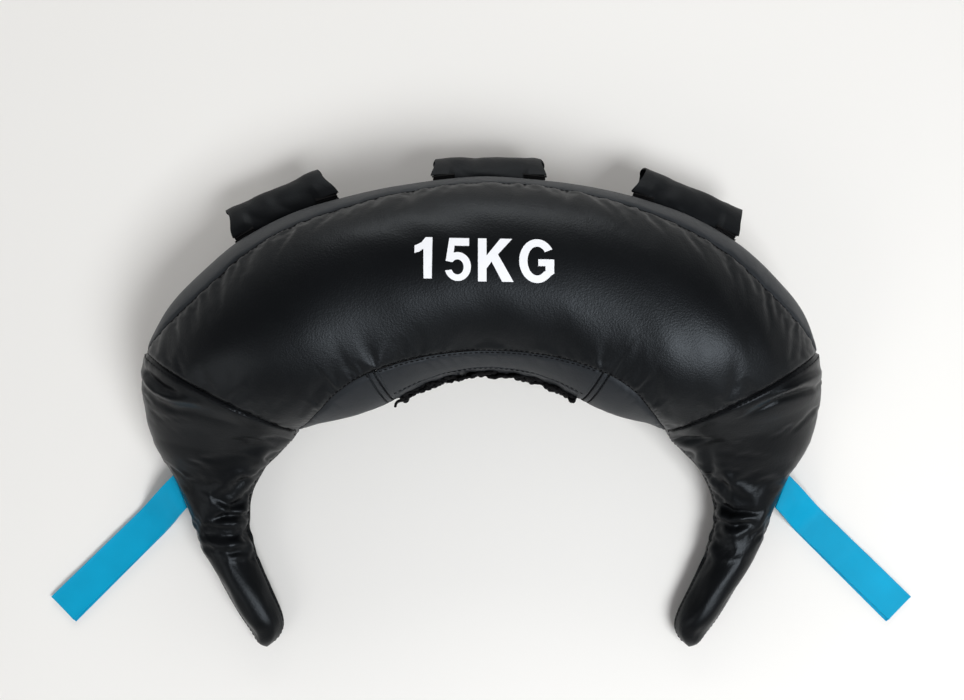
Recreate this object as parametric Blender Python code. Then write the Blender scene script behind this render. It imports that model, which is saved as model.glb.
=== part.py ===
"""Bulgarian bag: a crescent of sand in a leather-like cover, lying flat with its front panel up.

The crescent is described by ribs, numbered from the middle of the belly (0) to the last full
section of a horn (16), positive to the right. Every cover panel, wadding layer and pouch is a
patch of that one surface, set in from it by its own depth. Metres, +Z up, +Y towards the outer
arc, and the origin is on the floor under the middle of the belly.
"""

import math

import bmesh
import bpy
from mathutils import Matrix, Vector

# Overall sizes of the bag as it lies
BAG_WIDTH = 0.640
BAG_DEPTH = 0.455
BELLY_HEIGHT = 0.165
MIDDLE_SHIFT = 0.0065
TIP_SHIFT = 0.004

# Cover
COVER_THICKNESS = 0.002
SEAM_GAP = 0.0003
STRIP_GAP = 0.0006
OUTER_GUSSET_WIDTH = 0.116
INNER_GUSSET_WIDTH = 0.140
MOUTH_GAP = 0.0012

# Filling
WADDING_THICKNESS = 0.010
WADDING_CLEARANCE = 0.0028
WADDING_MOUTH_GAP = 0.028
POUCH_CLEARANCE = 0.0009
POUCH_GAP = 0.002
POUCH_END_INSET = 0.014
POUCH_SHOULDER_INSET = 0.005
POUCH_SHOULDER_LENGTH = 0.010
POUCH_COUNT = 5

# Closing lace
LACE_DIAMETER = 0.004
LACE_HALF_HEIGHT = 0.007
LACE_CLEARANCE = 0.0004
LACE_TURNS = 9
LACE_POINTS_PER_TURN = 14

# Grab handles
HANDLE_LENGTH = 0.105
HANDLE_DEPTH = 0.030
HANDLE_THICKNESS = 0.022
HANDLE_SKIN_THICKNESS = 0.0018
HANDLE_FLARE_HEIGHT = 0.0012
HANDLE_FLARE_LENGTH = 0.007
FINGER_GAP = 0.010
CORE_END_INSET = 0.0085
WEBBING_THICKNESS = 0.0025
WEBBING_BAR_DEPTH = 0.014
WEBBING_LEG_WIDTH = 0.020
WEBBING_END_INSET = 0.0005
WEBBING_CORNER_LENGTH = 0.008
FOOT_HEIGHT = 0.018
FOOT_THICKNESS = 0.0015
LEFT_HANDLE_DROOP = 45.0
MIDDLE_HANDLE_DROOP = 68.0
RIGHT_HANDLE_DROOP = 50.0

# Wrist straps
STRAP_WIDTH = 0.032
STRAP_LENGTH = 0.170
STRAP_THICKNESS = 0.0012
STRAP_LAYER_GAP = 0.0016
STRAP_ROOT_GAP = 0.0003
STRAP_DROP_LENGTH = 0.050
STRAP_BLEND_LENGTH = 0.030
STRAP_HEADING = 224.0
STRAP_RIB = 11.6

# Ribs: where the section planes cut the outer and the inner edge, as shares of half the bag's
# width from its middle and of the bag's depth down from the top of the outer arc
HORN_RIB = 7
LAST_RIB = 16
TIP_RIB = 17
MOUTH_RIB = 2.75
LEFT_HANDLE_RIB = -3.06
RIGHT_HANDLE_RIB = 2.97
OUTER_EDGE_SHARES = (
    (0.000, 0.000), (0.236, 0.016), (0.412, 0.041), (0.578, 0.078), (0.724, 0.135), (0.839, 0.204),
    (0.925, 0.273), (0.980, 0.354), (0.999, 0.428), (1.000, 0.478), (0.984, 0.543), (0.947, 0.604),
    (0.895, 0.695), (0.846, 0.783), (0.782, 0.871), (0.726, 0.940), (0.689, 0.978),
)
INNER_EDGE_SHARES = (
    (0.000, 0.397), (0.112, 0.407), (0.200, 0.429), (0.284, 0.462), (0.362, 0.484), (0.431, 0.498),
    (0.488, 0.507), (0.540, 0.520), (0.562, 0.537), (0.602, 0.565), (0.660, 0.610), (0.704, 0.664),
    (0.711, 0.731), (0.687, 0.796), (0.643, 0.869), (0.608, 0.927), (0.603, 0.961),
)
TIP_SHARE = (0.653, 1.000)
THICKNESS_SHARES = (
    1.000, 1.000, 0.995, 0.985, 0.970, 0.940, 0.890, 0.810, 0.700,
    0.590, 0.480, 0.385, 0.315, 0.275, 0.245, 0.215, 0.160,
)
OUTER_STRIP_SHARES = (0.76, 0.78, 0.84, 0.92, 0.98, 1.00, 0.85, 0.42)
INNER_STRIP_SHARES = (0.80, 0.85, 0.93, 1.00, 0.90, 0.66, 0.38, 0.08)
STRAP_STEP_SHARES = (0.05, 0.10, 0.15, 0.20, 0.25, 0.32, 0.45, 0.60, 0.75, 0.90, 1.00)
SAG_SHARE = 0.14
FLOOR_BLEND_SHARE = 0.07

# Counts of segments
MOUTH_SEGMENTS = 8
FLANK_SEGMENTS = 7
PANEL_STEPS = 8
HORN_SEGMENTS = 10
ROUND_STEPS = 12
OUTER_GUSSET_STEPS = 4
INNER_GUSSET_STEPS = 6
FACING_STEPS = 3
FOOT_STEPS = 2
POUCH_MEASURE_STEPS = 280
RIB_STEPS = 64

# Turns, in degrees, and distances in ribs
TIP_TURNS = (30, 60, 90)
FOLD_TURNS = (-45, 0, 45)
SHARP_ANGLE = 35
STRAP_LINE_RIBS = 0.4
MERGE_DISTANCE = 1e-7

# Values worked out from those above
HALF_WIDTH = BAG_WIDTH / 2
HALF_THICKNESS = BELLY_HEIGHT / (2 - SAG_SHARE)
MIDDLE_DOWN = BAG_DEPTH * INNER_EDGE_SHARES[0][1] / 2
WADDING_DEPTH = COVER_THICKNESS + WADDING_CLEARANCE
POUCH_DEPTH = WADDING_DEPTH + WADDING_THICKNESS + POUCH_CLEARANCE
PLUG_DEPTH = COVER_THICKNESS + SEAM_GAP
CORE_LENGTH = HANDLE_LENGTH - 2 * CORE_END_INSET
WEBBING_SPAN = HANDLE_LENGTH - 2 * WEBBING_END_INSET


def clear_scene():
    for obj in list(bpy.data.objects):
        bpy.data.objects.remove(obj, do_unlink=True)


def make_material(name, colour, roughness, metallic=0.0):
    material = bpy.data.materials.new(name)
    material.use_nodes = True
    shader = material.node_tree.nodes["Principled BSDF"]
    shader.inputs["Base Color"].default_value = (*colour, 1.0)
    shader.inputs["Roughness"].default_value = roughness
    shader.inputs["Metallic"].default_value = metallic
    return material


def curve_value(values, rib, mirror):
    """A smooth curve through one value per rib; ribs on the left hold mirror times the value."""
    last = len(values) - 1
    place = min(abs(rib), last)
    start = min(int(place), last - 1)
    share = place - start

    def value(index):
        if index < 0:
            return mirror * values[-index]
        if index > last:
            return 2 * values[last] - values[last - 1]
        return values[index]

    before, low, high, after = (value(start + step) for step in (-1, 0, 1, 2))
    low_slope = (high - before) / 2
    high_slope = (after - low) / 2
    blend = share * share * (3 - 2 * share)
    smooth = low + (high - low) * blend
    smooth += low_slope * share * (1 - share) ** 2 - high_slope * share * share * (1 - share)
    return mirror * smooth if rib < 0 else smooth


def sideways(rib):
    """The soft bag doesn't lie quite true: its middle is pushed right and its tips left."""
    if abs(rib) <= HORN_RIB:
        return MIDDLE_SHIFT * (1 - (rib / HORN_RIB) ** 2)
    return -TIP_SHIFT * ((abs(rib) - HORN_RIB) / (TIP_RIB - HORN_RIB)) ** 2


def plan_point(share_x, share_down, rib):
    return Vector((HALF_WIDTH * share_x + sideways(rib), MIDDLE_DOWN - BAG_DEPTH * share_down))


def edge_point(shares, rib):
    across = curve_value([pair[0] for pair in shares], rib, -1)
    down = curve_value([pair[1] for pair in shares], rib, 1)
    return plan_point(across, down, rib)


def half_thickness(rib):
    return HALF_THICKNESS * curve_value(THICKNESS_SHARES, rib, 1)


def middle_height(rib):
    """Height of the plane in which the front and rear halves meet."""
    return half_thickness(rib) * (1 - SAG_SHARE)


def soft_floor(height):
    """Height over half thickness where the floor holds the bag up, and its slope."""
    blend = FLOOR_BLEND_SHARE
    if height <= -blend:
        return 0.0, 0.0
    if height < blend:
        return (height + blend) ** 2 / (4 * blend), (height + blend) / (2 * blend)
    return height, 1.0


def surface(rib, angle, depth=0.0):
    """A point of the bag: angle 0 is the outer edge, 90 degrees up the front, 180 the inner edge."""
    side = math.copysign(1, rib)
    full = side * min(abs(rib), LAST_RIB)
    outer = edge_point(OUTER_EDGE_SHARES, full)
    inner = edge_point(INNER_EDGE_SHARES, full)
    centre = (outer + inner) / 2
    half_width = (outer - inner).length / 2
    thick = half_thickness(full)
    height, slope = soft_floor(1 - SAG_SHARE + math.sin(angle))
    normal = Vector((thick * slope * math.cos(angle), half_width * math.sin(angle))).normalized()
    across = half_width * math.cos(angle) - depth * normal.x
    height = thick * height - depth * normal.y
    cap = abs(rib) - LAST_RIB
    if cap > 0:
        shrink = math.sqrt(max(0.0, 1 - cap * cap))
        middle = middle_height(full)
        across *= shrink
        height = middle + (height - middle) * shrink
        reach = plan_point(side * TIP_SHARE[0], TIP_SHARE[1], rib) - centre
        centre = centre + reach * cap * (1 - depth / reach.length)
    place = centre + (outer - inner).normalized() * across
    return Vector((place.x, place.y, height))


def across_seam(rib):
    """Unit vector square to a rib's plane, pointing towards the horn's tip."""
    outer = edge_point(OUTER_EDGE_SHARES, rib)
    inner = edge_point(INNER_EDGE_SHARES, rib)
    rib_line = (outer - inner).normalized()
    onward = surface(rib + math.copysign(1, rib), 0) - surface(rib, 0)
    square = Vector((-rib_line.y, rib_line.x, 0))
    return square if square.dot(onward) > 0 else -square


def outer_seam(rib):
    return OUTER_GUSSET_WIDTH / 2 * curve_value(OUTER_STRIP_SHARES, rib, 1) / half_thickness(rib)


def inner_seam(rib):
    return INNER_GUSSET_WIDTH / 2 * curve_value(INNER_STRIP_SHARES, rib, 1) / half_thickness(rib)


def gap_angle(rib, gap):
    return gap / 2 / half_thickness(rib)


def spaced(first, last, segments):
    return [first + (last - first) * step / segments for step in range(segments + 1)]


def belly_ribs():
    """The ribs that every layer of the belly shares, so that their facets run alike."""
    flank = spaced(MOUTH_RIB, HORN_RIB, FLANK_SEGMENTS)
    mouth = spaced(-MOUTH_RIB, MOUTH_RIB, MOUTH_SEGMENTS)
    return [-rib for rib in reversed(flank)] + mouth[1:-1] + flank


def horn_ribs(side):
    """The ribs of one horn, from the belly seam to the point where its round tip closes."""
    shaft = spaced(HORN_RIB, LAST_RIB, HORN_SEGMENTS)
    tip_turns = [math.sin(math.radians(turn)) for turn in TIP_TURNS]
    return [side * rib for rib in shaft + [LAST_RIB + turn for turn in tip_turns]]


def finish(name, bm, material, carrier=None):
    """Makes a closed mesh into an object. A carrier empty stands on a moving piece's axis."""
    bmesh.ops.remove_doubles(bm, verts=bm.verts[:], dist=MERGE_DISTANCE)
    bmesh.ops.dissolve_degenerate(bm, dist=MERGE_DISTANCE, edges=bm.edges[:])
    bmesh.ops.triangulate(bm, faces=bm.faces[:], quad_method="SHORT_EDGE")
    bmesh.ops.recalc_face_normals(bm, faces=bm.faces[:])
    mesh = bpy.data.meshes.new(name)
    bm.to_mesh(mesh)
    bm.free()
    obj = bpy.data.objects.new(name, mesh)
    bpy.context.scene.collection.objects.link(obj)
    mesh.materials.append(material)
    mesh.shade_smooth()
    mesh.set_sharp_from_angle(angle=math.radians(SHARP_ANGLE))
    if carrier:
        obj.parent = carrier
        obj.matrix_parent_inverse = carrier.matrix_world.inverted()
    return obj


def add_slab(bm, rows, columns, place):
    """Adds a closed slab of rows by columns cells; place(row, column, level) gives its corners."""
    made = bmesh.ops.create_grid(bm, x_segments=rows, y_segments=columns, size=0.5)
    faces = list({face for vert in made["verts"] for face in vert.link_faces})
    raised = bmesh.ops.extrude_face_region(bm, geom=faces, use_keep_orig=True)
    top = [item for item in raised["geom"] if isinstance(item, bmesh.types.BMVert)]
    bmesh.ops.translate(bm, verts=top, vec=(0, 0, 1))
    for vert in made["verts"] + top:
        row = round((vert.co.x + 0.5) * rows)
        column = round((vert.co.y + 0.5) * columns)
        vert.co = place(row, column, round(vert.co.z))


def patch(bm, ribs, edges, steps, depths, move=None):
    """A sheet of the bag over the ribs, between the two angles that edges(rib) gives."""

    def place(row, column, level):
        rib = ribs[row]
        low, high = edges(rib)
        point = surface(rib, low + (high - low) * column / steps, depths[level])
        return point + move(row) if move else point

    add_slab(bm, len(ribs) - 1, steps, place)


def add_plug(bm, rings):
    """A closed body through rings of points, built by extruding one ring after another."""
    circle = bmesh.ops.create_circle(bm, cap_ends=True, segments=len(rings[0]), radius=1)
    ordered = sorted(circle["verts"], key=lambda vert: math.atan2(vert.co.y, vert.co.x) % math.tau)
    face = ordered[0].link_faces[0]
    for vert, point in zip(ordered, rings[0]):
        vert.co = point
    for ring in rings[1:]:
        keep = {vert: index for index, vert in enumerate(ordered)}
        grown = bmesh.ops.extrude_discrete_faces(bm, faces=[face])["faces"][0]
        pairs = match_corners(grown, keep)
        for index, vert in pairs:
            vert.co = ring[index]
        face = grown
        ordered = [vert for _, vert in sorted(pairs, key=lambda pair: pair[0])]
    close_start(bm)


def close_start(bm):
    """Closes the end that the first extrusion left open."""
    rim = [edge for edge in bm.edges if edge.is_boundary]
    bmesh.ops.holes_fill(bm, edges=rim, sides=0)


def match_corners(grown, keep):
    """Pairs each corner of a face that was just extruded with the corner that it came from."""
    pairs = []
    for vert in grown.verts:
        start = next(v for edge in vert.link_edges for v in edge.verts if v in keep)
        pairs.append((keep[start], vert))
    return pairs


def build_belly_cover(leather):
    ribs = belly_ribs()
    skin = (0.0, COVER_THICKNESS)
    mouth = [rib for rib in ribs if abs(rib) <= MOUTH_RIB]
    mouth_ends = SEAM_GAP / 2 / (surface(MOUTH_RIB, math.pi) - surface(MOUTH_RIB - 1, math.pi)).length

    def front(rib):
        gap = gap_angle(rib, STRIP_GAP)
        return outer_seam(rib) + gap, math.pi - inner_seam(rib) - gap

    def rear(rib):
        low, high = front(rib)
        return -low, -high

    def outer(rib):
        reach = outer_seam(rib) - gap_angle(rib, STRIP_GAP)
        return -reach, reach

    def inner(rib):
        reach = inner_seam(rib) - gap_angle(rib, STRIP_GAP)
        return math.pi - reach, math.pi + reach

    def facing_front(rib):
        return inner(rib)[0], math.pi - gap_angle(rib, MOUTH_GAP)

    def facing_rear(rib):
        return math.pi + gap_angle(rib, MOUTH_GAP), inner(rib)[1]

    left = [rib for rib in ribs if rib < -MOUTH_RIB] + [-MOUTH_RIB - mouth_ends]
    right = [MOUTH_RIB + mouth_ends] + [rib for rib in ribs if rib > MOUTH_RIB]
    facing = [mouth[0] + mouth_ends] + mouth[1:-1] + [mouth[-1] - mouth_ends]
    plan = (
        ("front_panel", ribs, front, PANEL_STEPS),
        ("rear_panel", ribs, rear, PANEL_STEPS),
        ("outer_gusset", ribs, outer, OUTER_GUSSET_STEPS),
        ("inner_gusset_left", left, inner, INNER_GUSSET_STEPS),
        ("inner_gusset_right", right, inner, INNER_GUSSET_STEPS),
        ("mouth_facing_front", facing, facing_front, FACING_STEPS),
        ("mouth_facing_rear", facing, facing_rear, FACING_STEPS),
    )
    made = {}
    for name, along, edges, steps in plan:
        bm = bmesh.new()
        patch(bm, along, edges, steps, skin)
        made[name] = finish(name, bm, leather)
    return made


def build_belly_filling(wadding, canvas):
    ribs = belly_ribs()
    depths = (WADDING_DEPTH, WADDING_DEPTH + WADDING_THICKNESS)
    half_steps = ROUND_STEPS // 2
    for name, side in (("belly_wadding_front", 1), ("belly_wadding_rear", -1)):

        def place(row, column, level):
            rib = ribs[row]
            angle = math.pi * column / half_steps
            angle = max(angle, gap_angle(rib, SEAM_GAP))
            angle = min(angle, math.pi - gap_angle(rib, WADDING_MOUTH_GAP))
            return surface(rib, side * angle, depths[level])

        bm = bmesh.new()
        add_slab(bm, len(ribs) - 1, half_steps, place)
        finish(name, bm, wadding)
    bounds = pouch_bounds()
    for number in range(POUCH_COUNT):
        bm = bmesh.new()
        add_plug(bm, pouch_rings(bounds[number], bounds[number + 1]))
        finish(f"sand_pouch_{number + 1}", bm, canvas)


def centre_line(rib):
    return (surface(rib, 0) + surface(rib, math.pi)) / 2


def rib_after(rib, distance, line):
    """The rib that lies a distance further along a line of the bag, to either side."""
    step = math.copysign(1 / RIB_STEPS, distance)
    left = abs(distance)
    while left > 0:
        length = (line(rib + step) - line(rib)).length
        if length >= left:
            return rib + step * left / length
        left -= length
        rib += step
    return rib


def pouch_bounds():
    """Ribs that share the belly's middle line out evenly among the pouches."""
    reach = rib_after(HORN_RIB, -WADDING_THICKNESS, centre_line)
    fine = spaced(-reach, reach, POUCH_MEASURE_STEPS)
    lengths = [0.0]
    for before, after in zip(fine, fine[1:]):
        lengths.append(lengths[-1] + (centre_line(after) - centre_line(before)).length)
    bounds = []
    for number in range(POUCH_COUNT + 1):
        target = lengths[-1] * number / POUCH_COUNT
        bounds.append(min(zip(fine, lengths), key=lambda pair: abs(pair[1] - target))[0])
    return bounds


def pouch_rings(first, last):
    low = rib_after(first, POUCH_GAP / 2, centre_line)
    high = rib_after(last, -POUCH_GAP / 2, centre_line)
    low_shoulder = rib_after(low, POUCH_SHOULDER_LENGTH, centre_line)
    high_shoulder = rib_after(high, -POUCH_SHOULDER_LENGTH, centre_line)
    places = [(low, POUCH_END_INSET), (low_shoulder, POUCH_SHOULDER_INSET)]
    places += [(rib, 0.0) for rib in belly_ribs() if low_shoulder < rib < high_shoulder]
    places += [(high_shoulder, POUCH_SHOULDER_INSET), (high, POUCH_END_INSET)]
    return [round_ring(rib, POUCH_DEPTH + inset) for rib, inset in places]


def round_ring(rib, depth):
    angles = spaced(0, math.tau, ROUND_STEPS)[:-1]
    return [surface(rib, angle, depth) for angle in angles]


def build_horn(side_name, side, leather, wadding, carrier):
    ribs = horn_ribs(side)
    apart = across_seam(side * HORN_RIB) * SEAM_GAP
    for half, turn in (("front", 1), ("rear", -1)):
        lift = Vector((0, 0, SEAM_GAP if half == "front" else 0))

        def edges(rib):
            return 0.0, turn * math.pi

        def move(row):
            return lift + apart if row == 0 else lift

        bm = bmesh.new()
        patch(bm, ribs, edges, ROUND_STEPS // 2, (0.0, COVER_THICKNESS), move)
        finish(f"{side_name}_horn_cover_{half}", bm, leather, carrier)
    rings = [round_ring(rib, PLUG_DEPTH) for rib in ribs[:-1]]
    rings[0] = [point + apart for point in rings[0]]
    bm = bmesh.new()
    add_plug(bm, rings)
    finish(f"{side_name}_horn_wadding", bm, wadding, carrier)


def lace_points():
    """The lace's middle line: it winds round the two edges of the mouth, through both facings."""
    turns = LACE_TURNS * LACE_POINTS_PER_TURN
    depth = COVER_THICKNESS / 2
    swing = depth + LACE_DIAMETER / 2 + LACE_CLEARANCE
    first = rib_after(-MOUTH_RIB, LACE_HALF_HEIGHT, inner_line)
    last = rib_after(MOUTH_RIB, -LACE_HALF_HEIGHT, inner_line)
    points = []
    for step in range(turns + 1):
        rib = first + (last - first) * step / turns
        phase = math.tau * step / LACE_POINTS_PER_TURN
        rise = gap_angle(rib, 2 * LACE_HALF_HEIGHT * math.sin(phase))
        points.append(surface(rib, math.pi - rise, depth - swing * math.cos(phase)))
    return points


def inner_line(rib):
    return surface(rib, math.pi)


def add_tube(name, points, diameter):
    data = bpy.data.curves.new(name, "CURVE")
    data.dimensions = "3D"
    data.bevel_depth = diameter / 2
    data.bevel_resolution = 1
    data.use_fill_caps = True
    spline = data.splines.new("POLY")
    spline.points.add(len(points) - 1)
    for place, point in zip(spline.points, points):
        place.co = (*point, 1)
    obj = bpy.data.objects.new(name, data)
    bpy.context.scene.collection.objects.link(obj)
    return obj


def least_self_gap(points, diameter):
    """Least distance between two stretches of a tube that aren't next to each other."""
    apart = LACE_POINTS_PER_TURN // 3
    nearest = min(
        (here - there).length
        for index, here in enumerate(points)
        for there in points[index + apart:]
    )
    return nearest - diameter


def build_lace(cord, facings):
    points = lace_points()
    lace = add_tube("closing_lace", points, LACE_DIAMETER)
    lace.data.materials.append(cord)
    guide = add_tube("lace_hole_guide", points, LACE_DIAMETER + 2 * SEAM_GAP)
    graph = bpy.context.evaluated_depsgraph_get()
    mesh = bpy.data.meshes.new_from_object(guide.evaluated_get(graph))
    bpy.data.objects.remove(guide, do_unlink=True)
    cutter = bpy.data.objects.new("lace_hole_cutter", mesh)
    bpy.context.scene.collection.objects.link(cutter)
    cutter.hide_render = True
    cutter.display_type = "WIRE"
    for facing in facings:
        holes = facing.modifiers.new("lace holes", "BOOLEAN")
        holes.operation = "DIFFERENCE"
        holes.object = cutter
    print("least gap of the lace to itself, mm:", round(1000 * least_self_gap(points, LACE_DIAMETER), 2))


def outer_line(rib):
    return surface(rib, 0)


def handle_frame(rib, droop):
    """Where a handle turns: the middle of its fold line, the line, and the way it hangs out."""
    reach = WEBBING_SPAN / 2 - WEBBING_LEG_WIDTH
    stand = SEAM_GAP * 2 + FOOT_THICKNESS + WEBBING_THICKNESS / 2
    ends = []
    for side in (-1, 1):
        foot = rib_after(rib, side * reach, outer_line)
        outward = surface(foot, 0) - surface(foot, math.pi)
        outward.z = 0
        ends.append(surface(foot, 0) + outward.normalized() * stand)
    line = (ends[1] - ends[0]).normalized()
    line = Vector((line.x, line.y, 0)).normalized()
    outward = Vector((-line.y, line.x, 0))
    hang = math.radians(droop)
    down = outward * math.cos(hang) - Vector((0, 0, math.sin(hang)))
    matrix = Matrix((line, down, line.cross(down))).transposed().to_4x4()
    matrix.translation = (ends[0] + ends[1]) / 2
    return matrix


def oval(half_depth, half_height, slit, steps):
    """An oval with a slit of a given width on the side of the bag, from one lip to the other."""
    start = math.asin(min(1.0, slit / 2 / half_height))
    turns = [start + (math.tau - 2 * start) * step / steps for step in range(steps + 1)]
    return [(-half_depth * math.cos(turn), half_height * math.sin(turn)) for turn in turns]


def extrude_outlines(bm, outlines, matrix):
    """A closed body through one outline after another; an outline lists (along, out, up)."""
    first = [bm.verts.new(matrix @ Vector(point)) for point in outlines[0]]
    face = bm.faces.new(first)
    for outline in outlines[1:]:
        keep = {vert: index for index, vert in enumerate(first)}
        grown = bmesh.ops.extrude_discrete_faces(bm, faces=[face])["faces"][0]
        pairs = match_corners(grown, keep)
        for index, vert in pairs:
            vert.co = matrix @ Vector(outline[index])
        face = grown
        first = [vert for _, vert in sorted(pairs, key=lambda pair: pair[0])]
    close_start(bm)


def build_handle(name, rib, droop, leather, foam, webbing):
    matrix = handle_frame(rib, droop)
    carrier = bpy.data.objects.new(f"{name}_fold_line", None)
    carrier.matrix_world = matrix
    bpy.context.scene.collection.objects.link(carrier)
    bpy.context.view_layer.update()
    centre = FINGER_GAP + HANDLE_DEPTH / 2
    slit = WEBBING_THICKNESS + 2 * SEAM_GAP
    build_sleeve(name, matrix, centre, slit, leather, carrier)
    build_core(name, matrix, centre, slit, foam, carrier)
    build_webbing(name, matrix, centre, webbing, carrier)
    build_feet(name, rib, webbing)
    return matrix


def build_sleeve(name, matrix, centre, slit, leather, carrier):
    """A wrapped leather sleeve, flared at its open ends, whose edges meet on the bag's side."""
    reach = HANDLE_LENGTH / 2
    neck = reach - HANDLE_FLARE_LENGTH
    outlines = []
    flared = HANDLE_FLARE_HEIGHT
    for along, flare in ((-reach, flared), (-neck, 0.0), (neck, 0.0), (reach, flared)):
        outside = oval(HANDLE_DEPTH / 2 + flare, HANDLE_THICKNESS / 2 + flare, slit, ROUND_STEPS)
        inside = oval(
            HANDLE_DEPTH / 2 + flare - HANDLE_SKIN_THICKNESS,
            HANDLE_THICKNESS / 2 + flare - HANDLE_SKIN_THICKNESS, slit, ROUND_STEPS,
        )
        outlines.append([(along, centre + out, up) for out, up in outside + inside[::-1]])
    bm = bmesh.new()
    extrude_outlines(bm, outlines, matrix)
    finish(f"{name}_sleeve", bm, leather, carrier)


def build_core(name, matrix, centre, slit, foam, carrier):
    """Foam that fills the sleeve round the flat webbing."""
    skin = HANDLE_SKIN_THICKNESS + SEAM_GAP
    outside = oval(HANDLE_DEPTH / 2 - skin, HANDLE_THICKNESS / 2 - skin, slit, ROUND_STEPS)
    bar = WEBBING_BAR_DEPTH / 2 + SEAM_GAP
    channel = [(bar, -slit / 2), (bar, slit / 2)]
    section = outside + channel
    outlines = [
        [(along, centre + out, up) for out, up in section]
        for along in (-CORE_LENGTH / 2, CORE_LENGTH / 2)
    ]
    bm = bmesh.new()
    extrude_outlines(bm, outlines, matrix)
    finish(f"{name}_core", bm, foam, carrier)


def build_webbing(name, matrix, centre, webbing, carrier):
    """Flat webbing, folded square at both ends so that its legs run down to the gusset."""
    reach = WEBBING_SPAN / 2
    leg = reach - WEBBING_LEG_WIDTH
    low = centre - WEBBING_BAR_DEPTH / 2
    high = centre + WEBBING_BAR_DEPTH / 2
    right = [
        (leg, low), (leg, 0.0), (reach, 0.0),
        (reach, high - WEBBING_CORNER_LENGTH), (reach - WEBBING_CORNER_LENGTH, high),
    ]
    flat = right + [(-along, out) for along, out in reversed(right)]
    outlines = [
        [(along, out, up) for along, out in flat]
        for up in (-WEBBING_THICKNESS / 2, WEBBING_THICKNESS / 2)
    ]
    bm = bmesh.new()
    extrude_outlines(bm, outlines, matrix)
    finish(f"{name}_webbing", bm, webbing, carrier)


def build_feet(name, rib, webbing):
    """The two sewn ends of the webbing, flat on the gusset."""
    outer = WEBBING_SPAN / 2
    inner = outer - WEBBING_LEG_WIDTH
    for end, side in (("left", -1), ("right", 1)):
        ends = sorted(rib_after(rib, side * reach, outer_line) for reach in (inner, outer))
        bm = bmesh.new()
        depths = (-SEAM_GAP - FOOT_THICKNESS, -SEAM_GAP)
        patch(bm, spaced(*ends, FOOT_STEPS), foot_edges, FOOT_STEPS, depths)
        finish(f"{name}_foot_{end}", bm, webbing)


def foot_edges(rib):
    reach = gap_angle(rib, FOOT_HEIGHT)
    return -reach, reach


def strap_path():
    """The loop's middle line, seen from the side: out along the floor, round the fold and back."""
    layer = (STRAP_THICKNESS + STRAP_LAYER_GAP) / 2
    seam = (STRAP_THICKNESS + SEAM_GAP) / 2
    outward = [STRAP_LENGTH * share for share in STRAP_STEP_SHARES]
    path = [(0.0, -1.0, seam)]
    path += [(along, -1.0, layer if along > STRAP_BLEND_LENGTH else seam) for along in outward]
    path += [(STRAP_LENGTH + layer * math.cos(turn), math.sin(turn), layer)
             for turn in map(math.radians, FOLD_TURNS)]
    path += [(along, 1.0, half) for along, _, half in reversed(path[:len(outward) + 1])]
    path += [(-seam * math.cos(turn), math.sin(turn), seam)
             for turn in map(math.radians, reversed(FOLD_TURNS))]
    return path


def strap_root(side):
    """Where a strap leaves its horn: a point on its fold line, and the line's direction."""
    outward = surface(side * STRAP_RIB, 0) - surface(side * STRAP_RIB, math.pi)
    outward.z = 0
    ahead = surface(side * (STRAP_RIB + STRAP_LINE_RIBS), 0)
    ahead -= surface(side * (STRAP_RIB - STRAP_LINE_RIBS), 0)
    line = Vector((ahead.x, ahead.y, 0)).normalized()
    square = Vector((-line.y, line.x, 0))
    if square.dot(outward) < 0:
        square = -square
    stand = STRAP_THICKNESS + SEAM_GAP / 2 + STRAP_ROOT_GAP
    root = surface(side * STRAP_RIB, 0) + square * stand
    return root, line


def build_strap(side_name, side, webbing, carrier):
    root, line = strap_root(side)
    heading = math.radians(STRAP_HEADING)
    ahead = Vector((-side * math.cos(heading), math.sin(heading), 0))
    wide = Vector((-ahead.y, ahead.x, 0))
    if wide.dot(line) < 0:
        wide = -wide
    skew = line / abs(line.dot(wide))
    floor_height = STRAP_THICKNESS + STRAP_LAYER_GAP / 2

    def centre(along, turn, half):
        share = min(max(along / STRAP_DROP_LENGTH, 0.0), 1.0)
        drop = share * share * (3 - 2 * share)
        height = root.z + (floor_height - root.z) * drop
        return Vector((root.x, root.y, 0)) + ahead * along + Vector((0, 0, height + turn * half))

    path = [centre(*step) for step in strap_path()]
    count = len(path)
    rows = []
    for index, (along, _, _) in enumerate(strap_path()):
        share = min(max(along / STRAP_BLEND_LENGTH, 0.0), 1.0)
        reach = skew.lerp(wide, share) * STRAP_WIDTH / 2
        tangent = (path[(index + 1) % count] - path[index - 1]).normalized()
        normal = tangent.cross(wide).normalized() * STRAP_THICKNESS / 2
        rows.append([path[index] + sign * reach + turn * normal
                     for sign, turn in ((-1, -1), (1, -1), (1, 1), (-1, 1))])
    bm = bmesh.new()
    verts = [[bm.verts.new(point) for point in row] for row in rows]
    for index in range(count):
        here, there = verts[index], verts[(index + 1) % count]
        for corner in range(4):
            after = (corner + 1) % 4
            bm.faces.new((here[corner], here[after], there[after], there[corner]))
    finish(f"{side_name}_wrist_strap", bm, webbing, carrier)
    return root, line


def empty_at(name, place, parent=None):
    carrier = bpy.data.objects.new(name, None)
    carrier.location = place
    bpy.context.scene.collection.objects.link(carrier)
    if parent:
        carrier.parent = parent
        carrier.matrix_parent_inverse = parent.matrix_world.inverted()
    bpy.context.view_layer.update()
    return carrier


def report(name, place, axis):
    print("joint", name, [round(value, 5) for value in place], [round(value, 5) for value in axis])


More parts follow.
